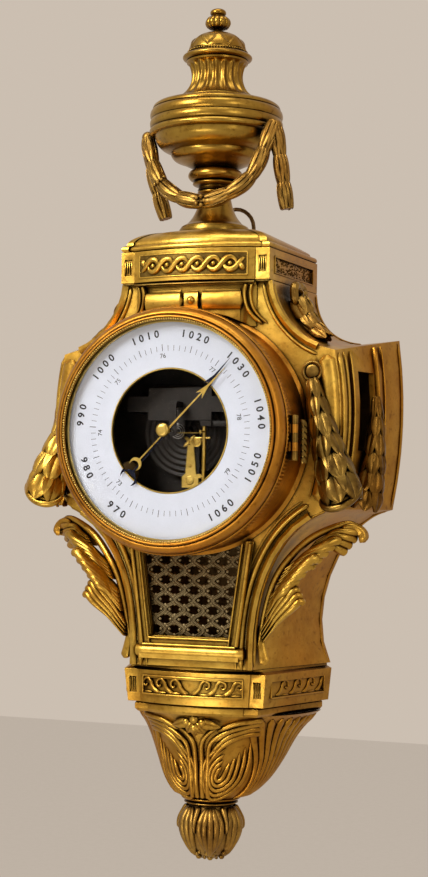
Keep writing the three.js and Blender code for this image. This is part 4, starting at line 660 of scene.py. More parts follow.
# Brass end of the lever: a tapered plate with a screw, and a cross and a ring boss above it
(lx0, _, lz0), (lx1, ly1, lz1) = in_mm(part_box("lever_end"))
pile = Pile()
front, back = ly1 - 1.6, ly1
HALVES = (-1, -0.5, 0, 0.5, 1)
mid = (lx0 + lx1) / 2 - 3.4
tapered = [(-2.4, lz1 + 3), (2.4, lz1 + 3), (4.6, lz0 + 6), (6.8, lz0 + 3.4), (6.8, lz0 - 5),
           (-6.8, lz0 - 5), (-6.8, lz0 + 3.4), (-4.0, lz0 + 6)]
plate(pile, [(mid + x, z) for x, z in tapered], front, back)
for lean in (1, -1):
    bar = [Vector((mid - 1.6 + 4.4 * t, front + 0.6, lz1 + 6 + 4.4 * t * lean)) for t in HALVES]
    ridge(pile, bar, FORWARD, 2.8, 1.0, 6, (0.1, 0.1), back - front - 0.6)
arm = [Vector((mid - 1 + 13 * t, front + 0.8, lz1 + 5 + 1.6 * t)) for t in (0, 0.25, 0.5, 0.75, 1)]
ridge(pile, arm, FORWARD, 2.2, 0.9, 6, (0, 0.1), back - front - 0.8)
for x, z, hole, r, high in ((mid + 5.4, lz1 + 5.4, 2.6, 3.9, 1.6), (mid - 0.4, lz0 + 0.6, 2.9, 3.6, 0.4)):
    face = -front + high
    turn(pile, [(0, -back), (r, -back), (r, face - 0.3), (r - 0.4, face), (hole, face), (hole, face - 1.6),
                (hole - 0.8, face - 1.6), (hole - 0.8, face - 0.4), (0, face - 0.2)], "y", (x, z), 36)
for x, z in ((mid - 1.6, lz1 + 6), (mid - 0.2, lz0 + 12)):
    turn(pile, [(0, -back), (1.3, -back), (1.3, -front + 0.9), (0.9, -front + 1.3), (0, -front + 1.3)], "y",
         (x, z), 20)
pile.stands_for("lever_fork", "lever_end", BRASS)

# Knob of the setting hand
pile = Pile()
turn(pile, profile([(0, 152.5), (1.6, 152.5)], [(1.6, 152.5), (1.6, 158.8)],
                   [(1.6, 158.8), (4.6, 159.2), (5.4, 160.6)],
                   [(5.4, 160.6), (5.0, 162.2), (3.4, 163.2), (0, 163.4)]), "y", segments=96,
     relief=lambda angle, radius, height: 0.12 * math.cos(36 * angle) if radius > 5.0 else 0)
pile.stands_for("set_knob_turned", "set_knob")

# Capsule: its front half corrugated, the back one with rounded edges

CAPSULE_RADIUS = 35.0
(_, top_front, _), (_, top_back, _) = in_mm(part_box("capsule_top"))


pile = Pile()
WAVES, STEPS = 7, 96
face = [(2.2 + (34.0 - 2.2) * k / STEPS, -top_front - 1.2 + 1.1 * 0.5 * math.cos(TAU * WAVES * k / STEPS))
        for k in range(STEPS + 1)]
face += [(CAPSULE_RADIUS, face[-1][1] - 0.4)] + [(r, h - 0.8) for r, h in reversed(face)]
turn(pile, face, "y", segments=128)
rim = [(CAPSULE_RADIUS - 1.4, -top_back + 0.1), (CAPSULE_RADIUS, -top_back + 0.1)]
rim += [(CAPSULE_RADIUS, -top_front - 1.4), (CAPSULE_RADIUS - 1.4, -top_front - 1.4)]
turn(pile, rim, "y", segments=128)
pile.stands_for("capsule_top_corrugated", "capsule_top")
softened("capsule_base", 0.15)

# Dial: plain numbers on the white ring

DIAL_FRONT = 148.0
MARK_LIFT = 0.1
DEGREES_PER_UNIT = 360 / 8.4
TOP_UNIT = 76.14


def scale_angle(value):
    return math.radians((value - TOP_UNIT) * DEGREES_PER_UNIT)


def on_dial(radius, angle):
    return Vector((math.sin(angle) * radius, -DIAL_FRONT - MARK_LIFT, math.cos(angle) * radius))


def tick(pile, angle, inner, outer, width):
    across = Vector((math.cos(angle), 0, -math.sin(angle))) * width / 2
    a, b = on_dial(inner, angle), on_dial(outer, angle)
    deep = Vector((0, MARK_LIFT, 0))
    verts = [a - across, a + across, b + across, b - across]
    verts += [v + deep for v in verts]
    pile.add(verts, [(0, 1, 2, 3), (7, 6, 5, 4), (0, 4, 5, 1), (1, 5, 6, 2), (2, 6, 7, 3), (3, 7, 4, 0)])


def number(name, words, size, radius, angle, inward=False, heavy=0.0):
    """A figure that stands on the dial, its top away from the centre, or towards it."""
    curve = bpy.data.curves.new(name, "FONT")
    curve.body = words
    curve.size = size * MM
    curve.align_x, curve.align_y = "CENTER", "CENTER"
    curve.extrude = 0.03 * MM
    curve.offset = heavy * MM
    curve.materials.append(INK)
    obj = bpy.data.objects.new(name, curve)
    bpy.context.scene.collection.objects.link(obj)
    place = on_dial(radius, angle) * MM
    spin = angle + (math.pi if inward else 0)
    obj.matrix_world = Matrix.Translation(place) @ Matrix.Rotation(spin, 4,
            "Y") @ Matrix.Rotation(math.pi / 2, 4, "X")
    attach(obj, "case")


ticks = Pile()
for step in range(84):
    tick(ticks, scale_angle(76 + step / 10), 61.2, 66.6 if step % 5 == 0 else 65.4,
         0.42 if step % 5 == 0 else 0.28)
ticks.done("scale_ticks", INK, "case")
for unit in range(73, 80):
    number("scale_%d" % unit, str(unit), 5.0, 57.4, scale_angle(unit),
           abs(math.degrees(scale_angle(unit))) > 100)
for hundreds in range(97, 107):
    middle = math.degrees(scale_angle(hundreds * 10 / 13.332))
    inward = abs(middle) > 100
    digits = str(hundreds * 10)
    step = 5.0
    for k, digit in enumerate(digits):
        turned = (k - (len(digits) - 1) / 2) * step * (-1 if inward else 1)
        number("outer_%d_%d" % (hundreds, k), digit, 7.8, 74.6, math.radians(middle + turned), inward, 0.2)

# Urn

URN = (0, -57)


def urn_piece(node, foot, height, radius, runs, relief=None, segments=160, extra=None, sharp=34.0):
    """A turned piece of the urn from runs in shares of its radius and its height."""
    pile = Pile()
    outline = profile(*[[(r * radius, foot + h * height) for r, h in run] for run in runs])
    turn(pile, outline, "z", URN, segments, relief)
    if extra:
        extra(pile)
    pile.stands_for(node + "_turned", node, sharp=sharp)


urn_piece("urn_foot", 163.4, 1.0, 29.3, [
    [(3.2 / 29.3, 0), (1, 0)], [(1, 0), (1, 2.2), (0.985, 4.2)], [(0.955, 4.6), (0.93, 6.2), (0.86, 7.4)],
    [(0.83, 7.8), (0.76, 9.3), (0.62, 14.5), (0.51, 21.5), (0.44, 29.5), (0.425, 33.0)],
    [(0.43, 33.3), (0.485, 34.0), (0.495, 35.3), (0.45, 36.4)], [(3.2 / 29.3, 36.4), (3.2 / 29.3, 0)]])

urn_piece("urn_body", 200.2, 75.0, 54.1, [
    [(0.27, 0), (0.255, 0.02), (0.25, 0.04)],
    [(0.25, 0.04), (0.32, 0.05), (0.345, 0.068), (0.325, 0.088), (0.29, 0.095)],
    [(0.29, 0.095), (0.37, 0.105), (0.415, 0.15), (0.39, 0.2), (0.33, 0.222)],
    [(0.33, 0.222), (0.38, 0.25), (0.52, 0.298)],
    [(0.52, 0.298), (0.62, 0.325), (0.675, 0.37), (0.68, 0.405)],
    [(0.68, 0.405), (0.705, 0.412)], [(0.705, 0.412), (0.82, 0.45), (0.9, 0.515), (0.925, 0.585)],
    [(0.925, 0.585), (0.99, 0.6), (1.012, 0.625), (1.0, 0.65), (0.975, 0.66)],
    [(0.975, 0.66), (1.0, 0.685), (1.006, 0.72), (0.99, 0.755)], [(0.975, 0.76), (0.99, 0.768)],
    [(0.99, 0.768), (1.004, 0.8), (0.995, 0.84), (0.97, 0.865)], [(0.955, 0.868), (0.968, 0.878)],
    [(0.968, 0.878), (0.955, 0.905), (0.92, 0.925)], [(0.9, 0.928), (0.8, 0.952), (0.68, 0.968)],
    [(0.665, 0.968), (0.66, 0.985), (0.635, 0.992), (0.6, 1.0)], [(0.07, 1.0), (0.07, 0)]])

N0, NH, NR = 275.5, 30.5, 28.1
FLUTES = 20


def fluted(angle, radius, height):
    up = (height - N0) / NH
    fade = min(1, max(0, (up - 0.02) / 0.06)) * min(1, max(0, (0.93 - up) / 0.09))
    if radius < NR * 0.7:
        return 0
    across = (angle * FLUTES / TAU) % 1 * 2 - 1
    return -radius * 0.085 * max(0, 1 - (abs(across) / 0.86) ** 2) * fade ** 0.5


urn_piece("urn_neck", N0, NH, NR, [
    [(1.16, 0), (1.08, 0.04), (0.93, 0.16), (0.81, 0.33), (0.75, 0.52), (0.755, 0.7), (0.81, 0.88),
     (0.86, 0.95)],
    [(0.89, 0.955), (0.9, 1)], [(0.6, 1), (0.6, 0)]], fluted, 400, sharp=50.0)

L0, LH, LR = 306.3, 24.5, 28.3
POINTS = 8


def pointed(angle, radius, height):
    """Pointed leaves standing round the dome of the lid."""
    up = (height - L0) / LH
    if up < 0.36 or radius < 4:
        return 0
    across = abs((angle * POINTS / TAU) % 1 * 2 - 1)
    edge = 0.40 + 0.38 * (1 - across)
    inside = 1 / (1 + math.exp((up - edge) * 45))
    line = math.exp(-((up - edge) / 0.028) ** 2)
    return 1.0 * line + 0.55 * inside * (1 - across) - 0.35 * (1 - inside)


def lid_beads(pile):
    for k in range(64):
        a = TAU * k / 64
        x, y = URN[0] + math.cos(a) * LR * 0.85, URN[1] + math.sin(a) * LR * 0.85
        ball(pile, (x, y, L0 + LH * 0.29), 0.95, 5, 8)


urn_piece("urn_lid", L0, LH, LR, [
    [(4.6 / LR, 0), (0.84, 0)], [(0.84, 0), (0.95, 0.04), (1, 0.09), (1, 0.15), (0.95, 0.2)],
    [(0.86, 0.21), (0.83, 0.33)],
    [(0.82, 0.34), (0.81, 0.42), (0.77, 0.56), (0.69, 0.72), (0.54, 0.86), (0.34, 0.95), (0.18, 1)],
    [(4.6 / LR, 1), (4.6 / LR, 0)]], pointed, 320, lid_beads, 50.0)

P0, PH, PR = 331.1, 19.0, 10.5


def lobed(angle, radius, height):
    if radius > PR * 0.45 and 0.1 < (height - P0) / PH < 0.67:
        return -PR * 0.1 * (1 - abs(math.sin(6 * angle)) ** 0.7)
    return 0


urn_piece("urn_finial", P0, PH, PR, [
    [(0, 0), (0.42, 0)], [(0.42, 0), (0.34, 0.05), (0.5, 0.09)],
    [(0.5, 0.09), (0.84, 0.18), (1, 0.36), (0.9, 0.55), (0.62, 0.66), (0.5, 0.68)],
    [(0.5, 0.7), (0.62, 0.78), (0.58, 0.9), (0.36, 0.98), (0, 1)]], lobed, 192, sharp=60.0)

# Garland of the urn: bundles of long leaves tied with berries

SWAG = [(-58.6, -62, 245.5), (-55.3, -65, 235.5), (-45.3, -73, 212.7), (-28.5, -81, 195.6),
        (-1.6, -87, 186), (25.1, -88, 192.5), (42.4, -85, 207.3), (50.7, -81, 229.2), (57.4, -77, 248.8)]
TAILS = [[(-58.6, -62, 245.5), (-52.1, -61, 211.2), (-42.5, -59, 178.6)],
         [(58.3, -77, 244.7), (62, -74, 214.7), (66.5, -71, 179.8)]]
BUNDLE = 21.0


def tied_leaves(pile, points, size, seed, berried=()):
    """Bundles of long pointed leaves one after another, some with berries at the tie."""
    fine = through(points, 24)
    lengths = [0.0]
    for a, b in zip(fine, fine[1:]):
        lengths.append(lengths[-1] + (b - a).length)
    total = lengths[-1]
    count = max(2, round(total / BUNDLE))
    facing, ahead = transport(fine, Vector((0, -1, 0.1))), tangents(fine)
    chance = random.Random(seed)

    def at(reach):
        reach = max(0.0, min(reach, total - 1e-6))
        i = max(k for k, length in enumerate(lengths) if length <= reach)
        i = min(i, len(fine) - 2)
        t = (reach - lengths[i]) / (lengths[i + 1] - lengths[i])
        normal, way = (v[i].lerp(v[i + 1], t).normalized() for v in (facing, ahead))
        return fine[i].lerp(fine[i + 1], t), normal, way

    strand(pile, fine, lambda s: size * 0.78)
    pitch = total / count
    for row in range(count):
        for ply, around in ((0, 6), (1, 6)):
            for k in range(around):
                turned = TAU * (k + 0.5 * ply) / around + chance.uniform(-0.08, 0.08)
                path, outs = [], []
                for step in range(11):
                    u = step / 10
                    p, normal, way = at((row + 0.02 + u * (1.12 if ply == 0 else 0.9)) * pitch)
                    out = (Matrix.Rotation(turned, 3, way) @ normal).normalized()
                    swell = 0.66 + 0.24 * math.sin(math.pi * min(u * 0.92 + 0.06, 1)) ** 0.5 + 0.05 * ply
                    path.append(p + out * size * swell)
                    outs.append(out)
                width = size * (1.06 if ply == 0 else 0.84)
                leaf(pile, path, outs, width, thick=0.7, crease=1.5, dome=0.2, blunt=0.5)
        if row in berried:
            p, normal, way = at((row + 0.02) * pitch)
            for k in (-1.5, -0.5, 0.5, 1.5):
                out = (Matrix.Rotation(k * 0.6, 3, way) @ normal).normalized()
                ball(pile, p + out * size * 0.95 + way * (1.4 if abs(k) < 1 else -0.6), 1.7, 6, 9)


pile = Pile()
fine = through([Vector(p) for p in SWAG], 12)
half = min(range(len(fine)), key=lambda i: fine[i].z)
tied_leaves(pile, fine[:half + 1:6] + [fine[half]], 6.4, 1, (2,))
tied_leaves(pile, fine[half:][::-1][::6] + [fine[half]], 6.4, 2)
for k in range(5):
    a = k * 1.25
    ball(pile, fine[half] + Vector((math.cos(a) * 3.6, -5.6 - (k % 2), math.sin(a) * 3.6)), 1.9, 6, 9)
for points in TAILS:
    tied_leaves(pile, [Vector(p) for p in points], 6.2, 5)
    hook = Vector(points[0])
    wall = Vector((hook.x, hook.y - URN[1], 0)).normalized() * 53.6
    strand(pile, [Vector((wall.x, wall.y + URN[1], hook.z)),
                  hook.lerp(Vector((wall.x, wall.y + URN[1], hook.z)), 0.5), hook], 3.2)
    ball(pile, hook + Vector((0, 0, 1)), 5.0, 10, 14)
pile.stands_for("urn_garland_leaves", "urn_garland", LEAFY)

# Blocks, case and mouldings with rounded edges

for node in ("case_body", "upper_neck", "upper_frieze", "grille_frame", "lower_frieze",
             "lower_moulding", "hanging_loop"):
    softened(node, 0.6 if node == "case_body" else 0.35, 26.0)

CASE_DEPTH = 95.0
FRONT_LINE = {"shoulder": [(63, 120), (64, 97), (84, 73.9), (103, 67.7)],
              "ear": [(115, 64.5), (128.5, 3.25), (110, -58)],
              "lower": [(110, -58), (74, -70.2), (48, -112.8), (51, -184)]}
WALL_LINE = {"shoulder": [(70, 120), (71, 91.9), (88, 77.8), (112, 76.8)],
             "ear": [(141, 80), (151, 11), (137, -58)],
             "lower": [(137, -58), (100, -61.8), (62, -136.1), (86, -184)]}


def bezier(points, t):
    level = [Vector((x, 0, z)) for x, z in points]
    while len(level) > 1:
        level = [a.lerp(b, t) for a, b in zip(level, level[1:])]
    return level[0]


def case_point(part, t, depth):
    p = bezier(FRONT_LINE[part], t).lerp(bezier(WALL_LINE[part], t), depth)
    p.y = -CASE_DEPTH * (1 - depth)
    return p


def on_case(part, t, depth, proud=0.0, side=1):
    """A point on the side of the case, raised by so much, and the surface's normal there."""
    p = case_point(part, t, depth)
    along = case_point(part, min(t + 0.02, 1), depth) - case_point(part, max(t - 0.02, 0), depth)
    deep = case_point(part, t, depth + 0.02) - p
    normal = along.cross(deep).normalized()
    if normal.x < 0:
        normal = -normal
    p = p + normal * proud
    if side < 0:
        p.x, normal.x = -p.x, -normal.x
    return p, normal


def front_edge(part, t, inset, side):
    """A point of the front plate so far in from its edge."""
    p = bezier(FRONT_LINE[part], t)
    way = bezier(FRONT_LINE[part], min(t + 0.01, 1)) - bezier(FRONT_LINE[part], max(t - 0.01, 0))
    inward = Vector((way.z, 0, -way.x)).normalized()
    if inward.x > 0:
        inward = -inward
    p = p + inward * inset
    return Vector((p.x * side, -CASE_DEPTH, p.z))


pile = Pile()
for side in (1, -1):
    for part, first, run, steps, inset, out, wide, high, sides, ends in (
            ("lower", 0.1, 0.9, 40, 8.5, FORWARD, 5.0, 3.4, 8, (0.03, 0.01)),
            ("lower", 0.12, 0.88, 40, 13.2, FORWARD, 2.2, 1.3, 5, (0.03, 0.01)),
            ("shoulder", 0.02, 0.98, 30, 6.5, FORWARD, 3.4, 2.0, 8, (0.03, 0.05)),
            ("ear", 0.02, 0.95, 30, 7.5, Vector((0.3 * side, -1, 0)).normalized(), 13.5, 4.2, 12,
             (0.02, 0.03)),
            ("ear", 0.02, 0.95, 30, 15.6, FORWARD, 1.8, 1.2, 6, (0.02, 0.03))):
        line = [front_edge(part, first + run * k / steps, inset, side) for k in range(steps + 1)]
        ridge(pile, line, out, wide, high, sides, ends)
    for depth, wide, high in ((0.045, 5.0, 2.2), (0.115, 3.2, 1.8), (0.205, 3.0, 1.6), (0.555, 3.4, 1.9),
                              (0.655, 2.6, 1.4), (0.965, 4.0, 1.2)):
        proud = 2.0 if 0.54 < depth < 0.66 else 0.2
        spots = [on_case("ear", 0.02 + 0.96 * k / 24, depth, proud, side) for k in range(25)]
        ridge_on(pile, spots, wide, high, 6, (0.02, 0.02), 1.5)
    for part, first, last in (("lower", 0.02, 0.99), ("shoulder", 0.02, 0.98)):
        for depth, wide, high in ((0.03, 4.2, 1.6), (0.965, 3.4, 1.2)):
            spots = [on_case(part, first + (last - first) * k / 40, depth, 0.1, side) for k in range(41)]
            ridge_on(pile, spots, wide, high, 6, (0.02, 0.02), 1.2)
pile.done("case_ridges", GILT)

# The punched band beside the lower front ridge
PUNCHES = 130
pile = Pile()
for side in (1, -1):
    for k in range(PUNCHES):
        for inset, shift in ((3.1, 0), (5.0, 0.5)):
            p = front_edge("lower", 0.12 + 0.87 * (k + shift) / PUNCHES, inset + rng.uniform(-0.3, 0.3),
                           side)
            ball(pile, p + Vector((0, -0.1, 0)), 0.62, 4, 6)
pile.done("punched_bands", AGED_AND_SHADED)

NECK_BOW, NECK_HALF = 9 * 0.7, 51


def neck_front(x, proud=4.2):
    return -CASE_DEPTH - proud - NECK_BOW * (1 - (x / NECK_HALF) ** 2)


# A closing plate in the joint above the neck, with a ridge at its front, in the darker gilt as a painted
# shadow line under the frieze
pile = Pile()
pile.add(*box_shape((-62, -100, 119.2), (62, -2, 120.4)))
ledge = [Vector((x, neck_front(x, 4.5), 119.2)) for x in range(-50, 51, 4)]
ridge(pile, ledge, Vector((0, -0.8, -0.3)).normalized(), 3.0, 3.0, 6, (0, 0), 2.0)
pile.done("neck_ledge_painted_shadow", AGED_AND_SHADED)


# Friezes: plaited bands on the upper block, running waves on the lower one

UPPER_FRONT, LOWER_FRONT, CORNER = (63, 101, 9), (60, 88, 9), 12.0


def bowed(x, half_front, front, bow):
    share = min(1.0, abs(x) / (half_front - CORNER))
    return -front - bow * 0.12 - bow * (1 - share * share)


def on_frieze(points, half_front, front, bow, sink=1.6):
    path = [Vector((x, bowed(x, half_front, front, bow) + sink, z)) for x, z in points]
    return path, [Vector((2 * bow * x / (half_front - CORNER) ** 2, -1, 0)).normalized() for x, _ in points]


def framed(pile, half, low, high, half_front, front, bow):
    """A narrow fillet round a sunk panel."""
    sides = [[(-half + 2 * half * k / 24, z) for k in range(25)] for z in (low, high)]
    sides += [[(x, low + (high - low) * k / 4) for k in range(5)] for x in (-half, half)]
    for points in sides:
        path, outs = on_frieze(points, half_front, front, bow, 0.0)
        ridge(pile, path, outs, 1.5, 0.8, 5, (0, 0))


def bowed_plate(pile, half, low, high, half_front, front, bow, proud, deep):
    """A plate of little thickness laid on a bowed front."""
    xs = [-half + 2 * half * k / 24 for k in range(25)]
    verts = [Vector((x, bowed(x, half_front, front, bow) - up, z))
             for x in xs for up in (proud, -deep) for z in (low, high)]
    faces = [(4 * k + i, 4 * k + j, 4 * k + 4 + j, 4 * k + 4 + i)
             for k in range(24) for i, j in ((0, 1), (1, 3), (3, 2), (2, 0))]
    pile.add(verts, faces + [(0, 1, 3, 2), (96, 98, 99, 97)])


BLOCK_LOW, BLOCK_HIGH = 126.3, 139.3
PANEL_LOW, PANEL_HIGH, HALF_UP = 123.9, 141.7, 45.6
MID, PITCH = (PANEL_LOW + PANEL_HIGH) / 2, 13.0
pile = Pile()
bowed_plate(pile, HALF_UP, PANEL_LOW, PANEL_HIGH, *UPPER_FRONT, 0.1, 1.6)
pile.done("upper_ground", AGED_AND_SHADED)
pile = Pile()
framed(pile, HALF_UP, PANEL_LOW, PANEL_HIGH, *UPPER_FRONT)
UNITS = 7
start = -PITCH * UNITS / 2
SCROLL = [(-4.7, 1.0), (-4.2, -2.2), (-2.2, -4.3), (0.8, -4.8), (3.8, -3.2), (6.5, 0), (9.2, 3.2),
          (12.2, 4.8), (15.2, 4.3), (17.2, 2.2), (17.7, -1.0)]
for k in range(-1, UNITS + 1):
    points = [(start + PITCH * k + p.x, MID + p.y) for p in through(SCROLL, 4)]
    points = [(x, z) for x, z in points if abs(x) < HALF_UP - 1.2]
    if len(points) > 6:
        path, outs = on_frieze(points, *UPPER_FRONT, 0.0)
        ridge(pile, path, outs, lambda s: 1.4 + 3.9 * math.sin(math.pi * s) ** 0.7,
              lambda s: 0.8 + 1.9 * math.sin(math.pi * s), 8, (0.06, 0.06), 0.5)
    x = start + PITCH * k
    if abs(x) < HALF_UP - 2.5:
        ball(pile, (x, bowed(x, *UPPER_FRONT) - 0.2, MID), 2.1, 7, 14, 0.9)
pile.done("upper_plait", GILT)

CAP_RUNS = profile([(1.2, 0), (0.1, 1.0), (-0.2, 2.6), (0.8, 4.2), (2.8, 5.2)],
                   [(2.8, 5.2), (3.6, 5.3), (3.7, 6.2)],
                   [(3.7, 6.2), (4.6, 8.4), (8.0, 11.4), (14.0, 14.2), (21.0, 16.2), (28.0, 17.2),
                    (36.0, 17.5)])
CAP_FRONT, CAP_FOOT = (63, 99.4, 9), 145.6
base = [(x, bowed(x, *CAP_FRONT)) for x in [-50 + 100 * k / 24 for k in range(25)]]
base += [(57, -99.5), (57, -101.6), (62.8, -101.6), (63.6, -97.0), (64.4, -92.5)]
base += [(64.4 + 5.0 * (1 - y / 92.5), -y) for y in (80, 60, 40, 20, 0)]
base += [(-x, y) for x, y in reversed(base[25:])]
pile = Pile()
verts = []
for inset, up in CAP_RUNS:
    for x, y in base:
        blend = max(0.0, min(1.0, (inset - 1.5) / 6))
        flat_y = max(y, bowed(x, *CAP_FRONT) if abs(x) < 58 else -99.5)
        drawn = x * (1 - max(0, abs(x) - 64.4) / abs(x) * blend) if x else 0
        near = Vector((drawn, y + (flat_y - y) * blend))
        verts.append((near.x * (1 - inset / 70), near.y * (1 - inset * 0.6 / 110), CAP_FOOT + up))
rings(pile, verts, len(base), len(CAP_RUNS) - 1)
pile.stands_for("cap_domed", "cap", sharp=30.0)

WAVE_LOW, WAVE_HIGH, WAVE_MIDDLE = -207.0, -192.5, -199.6
pile = Pile()
framed(pile, 42.2, WAVE_LOW, WAVE_HIGH, *LOWER_FRONT)


def wave(pile, place, size, sign):
    """One running wave: a swell that rises from the ground and curls over into a small spiral."""
    curl = [(0.0, -0.42), (0.28, -0.36), (0.55, -0.08), (0.66, 0.22), (0.9, 0.42), (1.16, 0.3), (1.2, 0.05),
            (1.02, -0.08), (0.9, 0.06)]
    path, outs = place([(x * size * sign, z * size) for x, z in flat(curl, 4)])
    ridge(pile, path, outs, lambda s: size * (0.3 - 0.16 * s), size * 0.11, 6, (0.12, 0.05), 0.5)
    foot = [(x * size * sign, -0.46 * size) for x in (0.55, 0.8, 1.05, 1.3)]
    path, outs = place(foot)
    ridge(pile, path, outs, size * 0.16, size * 0.08, 5, (0.1, 0.1), 0.4)


for k in range(-3, 3):
    sign = 1 if k >= 0 else -1
    origin = (k if k >= 0 else k + 1) * 12.9 + sign * 1.0

    def placed(points, origin=origin):
        return on_frieze([(origin + x, WAVE_MIDDLE + z) for x, z in points], *LOWER_FRONT)

    wave(pile, placed, 12.6, sign)
pile.done("lower_waves", GILT)


UPPER_SIDE, LOWER_SIDE = (63, 70, 101), (58.8, 85.8, 86.8)


def side_spot(share, z, half_front, half_wall, front, sink, side):
    """A point of a block's side, share of the way back from its front corner."""
    a, b = Vector((half_front, -front, 0)), Vector((half_wall, 0, 0))
    p = a.lerp(b, share)
    out = Vector((b.y - a.y, a.x - b.x, 0)).normalized()
    p = p - out * sink
    return Vector((p.x * side, p.y, z)), Vector((out.x * side, out.y, 0))


pile = Pile()
for side in (1, -1):
    for k in range(4):
        def placed(points, k=k, side=side):
            spots = [side_spot(0.15 + (k * 17.5 + 3 + x) / 88, WAVE_MIDDLE + z, *LOWER_SIDE, 1.6, side)
                     for x, z in points]
            return [p for p, _ in spots], [n for _, n in spots]
        wave(pile, placed, 13.5, 1)
    for low, high, block in ((WAVE_LOW, WAVE_HIGH, LOWER_SIDE), (BLOCK_LOW, BLOCK_HIGH, UPPER_SIDE)):
        for z in (low, high):
            spots = [side_spot(0.1 + (0.9 - 0.1) * j / 6, z, *block, 0, side) for j in range(7)]
            ridge_on(pile, spots, 1.4, 0.8, 5, (0, 0))
        for share in (0.1, 0.9):
            spots = [side_spot(share, low + (high - low) * j / 4, *block, 0, side) for j in range(5)]
            ridge_on(pile, spots, 1.4, 0.8, 5, (0, 0))
pile.done("side_waves", GILT)

pile = Pile()
for side in (1, -1):
    for middle, front, low, high in ((57.0, 101.0, BLOCK_LOW, BLOCK_HIGH), (52.7, 86.8, -207.0, -192.8)):
        for k in range(4):
            x = side * (middle + (k - 1.5) * 1.75)
            path = [Vector((x, -front + 1.6, low + 0.6 + (high - low - 1.2) * j / 4)) for j in range(5)]
            ridge(pile, path, FORWARD, 1.15, 1.5, 5, (0.04, 0.04))
pile.done("corner_flutes", GILT)

# Speckled ground of the sunk side panel of the upper block
pile = Pile()
for side in (1, -1):
    for k in range(260):
        share, z = rng.uniform(0.12, 0.88), rng.uniform(BLOCK_LOW + 1, BLOCK_HIGH - 1)
        p, _ = side_spot(share, z, *UPPER_SIDE, 1.6, side)
        ball(pile, p, rng.uniform(0.4, 0.8), 4, 6)
pile.done("side_ground", AGED_AND_SHADED)

# Grille: waving strands that cross between the openings, with small leaves in them

ACROSS, DOWN, TOP = 86 / 5.3, 76 / 9.7, -84.0
GRILLE_FACE, RAIL_FACE, DRUM_CLEAR = -90.3, -89.9, 88
pile = Pile()


def opening_half(z):
    """Half the width of the grille's opening at a height."""
    return 43 + (z - TOP) * 10 / 76


def grille_room(z):
    return opening_half(z) + 3.6


for k in range(-7, 7):
    x0 = ACROSS / 2 * (k + 0.5)
    sign = 1 if k % 2 == 0 else -1
    run = []
    for step in range(97):
        z = -80.5 - 83 * step / 96
        x = x0 + sign * ACROSS / 4 * 1.06 * math.cos(math.pi * (z - (TOP - DOWN * 1.1)) / DOWN)
        inside = abs(x) < grille_room(z) and math.hypot(x, z) > DRUM_CLEAR
        if inside:
            run.append(Vector((x, -90.1 - 0.25 * sign, z)))
        if (not inside or step == 96) and run:
            if len(run) > 4:
                ridge(pile, run, FORWARD, 3.3, 0.6, 4, (0, 0), 0.9)
                for shift in (-1.05, 1.05):
                    lines = [p + t.cross(FORWARD).normalized() * shift + FORWARD * 0.3
                             for p, t in zip(run, tangents(run))]
                    ridge(pile, lines, FORWARD, 1.15, 0.8, 6, (0, 0), 0.3)
            run = []
for row in range(10):
    z = TOP - DOWN * (row + 1.1)
    for column in range(-5, 6):
        x = column * ACROSS + (ACROSS / 2 if row % 2 else 0)
        if abs(x) > grille_room(z) + 2 or math.hypot(x, z) < DRUM_CLEAR or z < -160:
            continue
        for dz in (-4.6, 4.6):
            for dx, further, smaller in ((0, 1, 1), (-1.5, 1.25, 0.8), (1.5, 1.25, 0.8)):
                ball(pile, (x + dx, GRILLE_FACE, z + dz * further), 1.8 * smaller, 5, 9, 0.5)
        for dx in (-4.6, 4.6):
            ball(pile, (x + dx, GRILLE_FACE, z), 1.5, 5, 9, 0.5)
edge = [Vector((grille_room(z), RAIL_FACE, z)) for z in (-84, -122, -163)]
ridge(pile, through(edge, 6), FORWARD, 4.2, 0.7, 4, (0, 0), 0.6)
ridge(pile, through([Vector((-p.x, p.y, p.z)) for p in edge], 6), FORWARD, 4.2, 0.7, 4, (0, 0), 0.6)
ridge(pile, [Vector((x, RAIL_FACE, -162.6)) for x in range(-38, 39, 4)], FORWARD, 4.2, 0.7, 4, (0, 0), 0.6)
pile.stands_for("grille_strands", "grille", DARK_BRONZE)

# Fillets of the grille's frame
pile = Pile()
for side in (1, -1):
    for out, y, wide, high in ((1.3, -101.0, 1.8, 1.4), (7.4, -100.4, 3.2, 2.2)):
        rail = [Vector((side * (opening_half(z) + out), y, z)) for z in range(-86, -168, -4)]
        ridge(pile, rail, FORWARD, wide, high, 8, (0, 0), 1.0)
ridge(pile, [Vector((x, -101.0, -161.5)) for x in range(-34, 35, 4)], FORWARD, 1.8, 1.4, 8, (0, 0), 1.0)
ridge(pile, [Vector((x, -97.4 + max(0, abs(x) - 40) * 0.3, -172.0)) for x in range(-46, 47, 2)], FORWARD,
      10.5, 5.0, 12, (0.01, 0.01), 2.0)
ridge(pile, [Vector((x, -100.0, -166.8)) for x in range(-39, 40, 3)], FORWARD, 2.6, 2.0, 8, (0, 0), 1.0)
pile.done("frame_fillets", GILT)

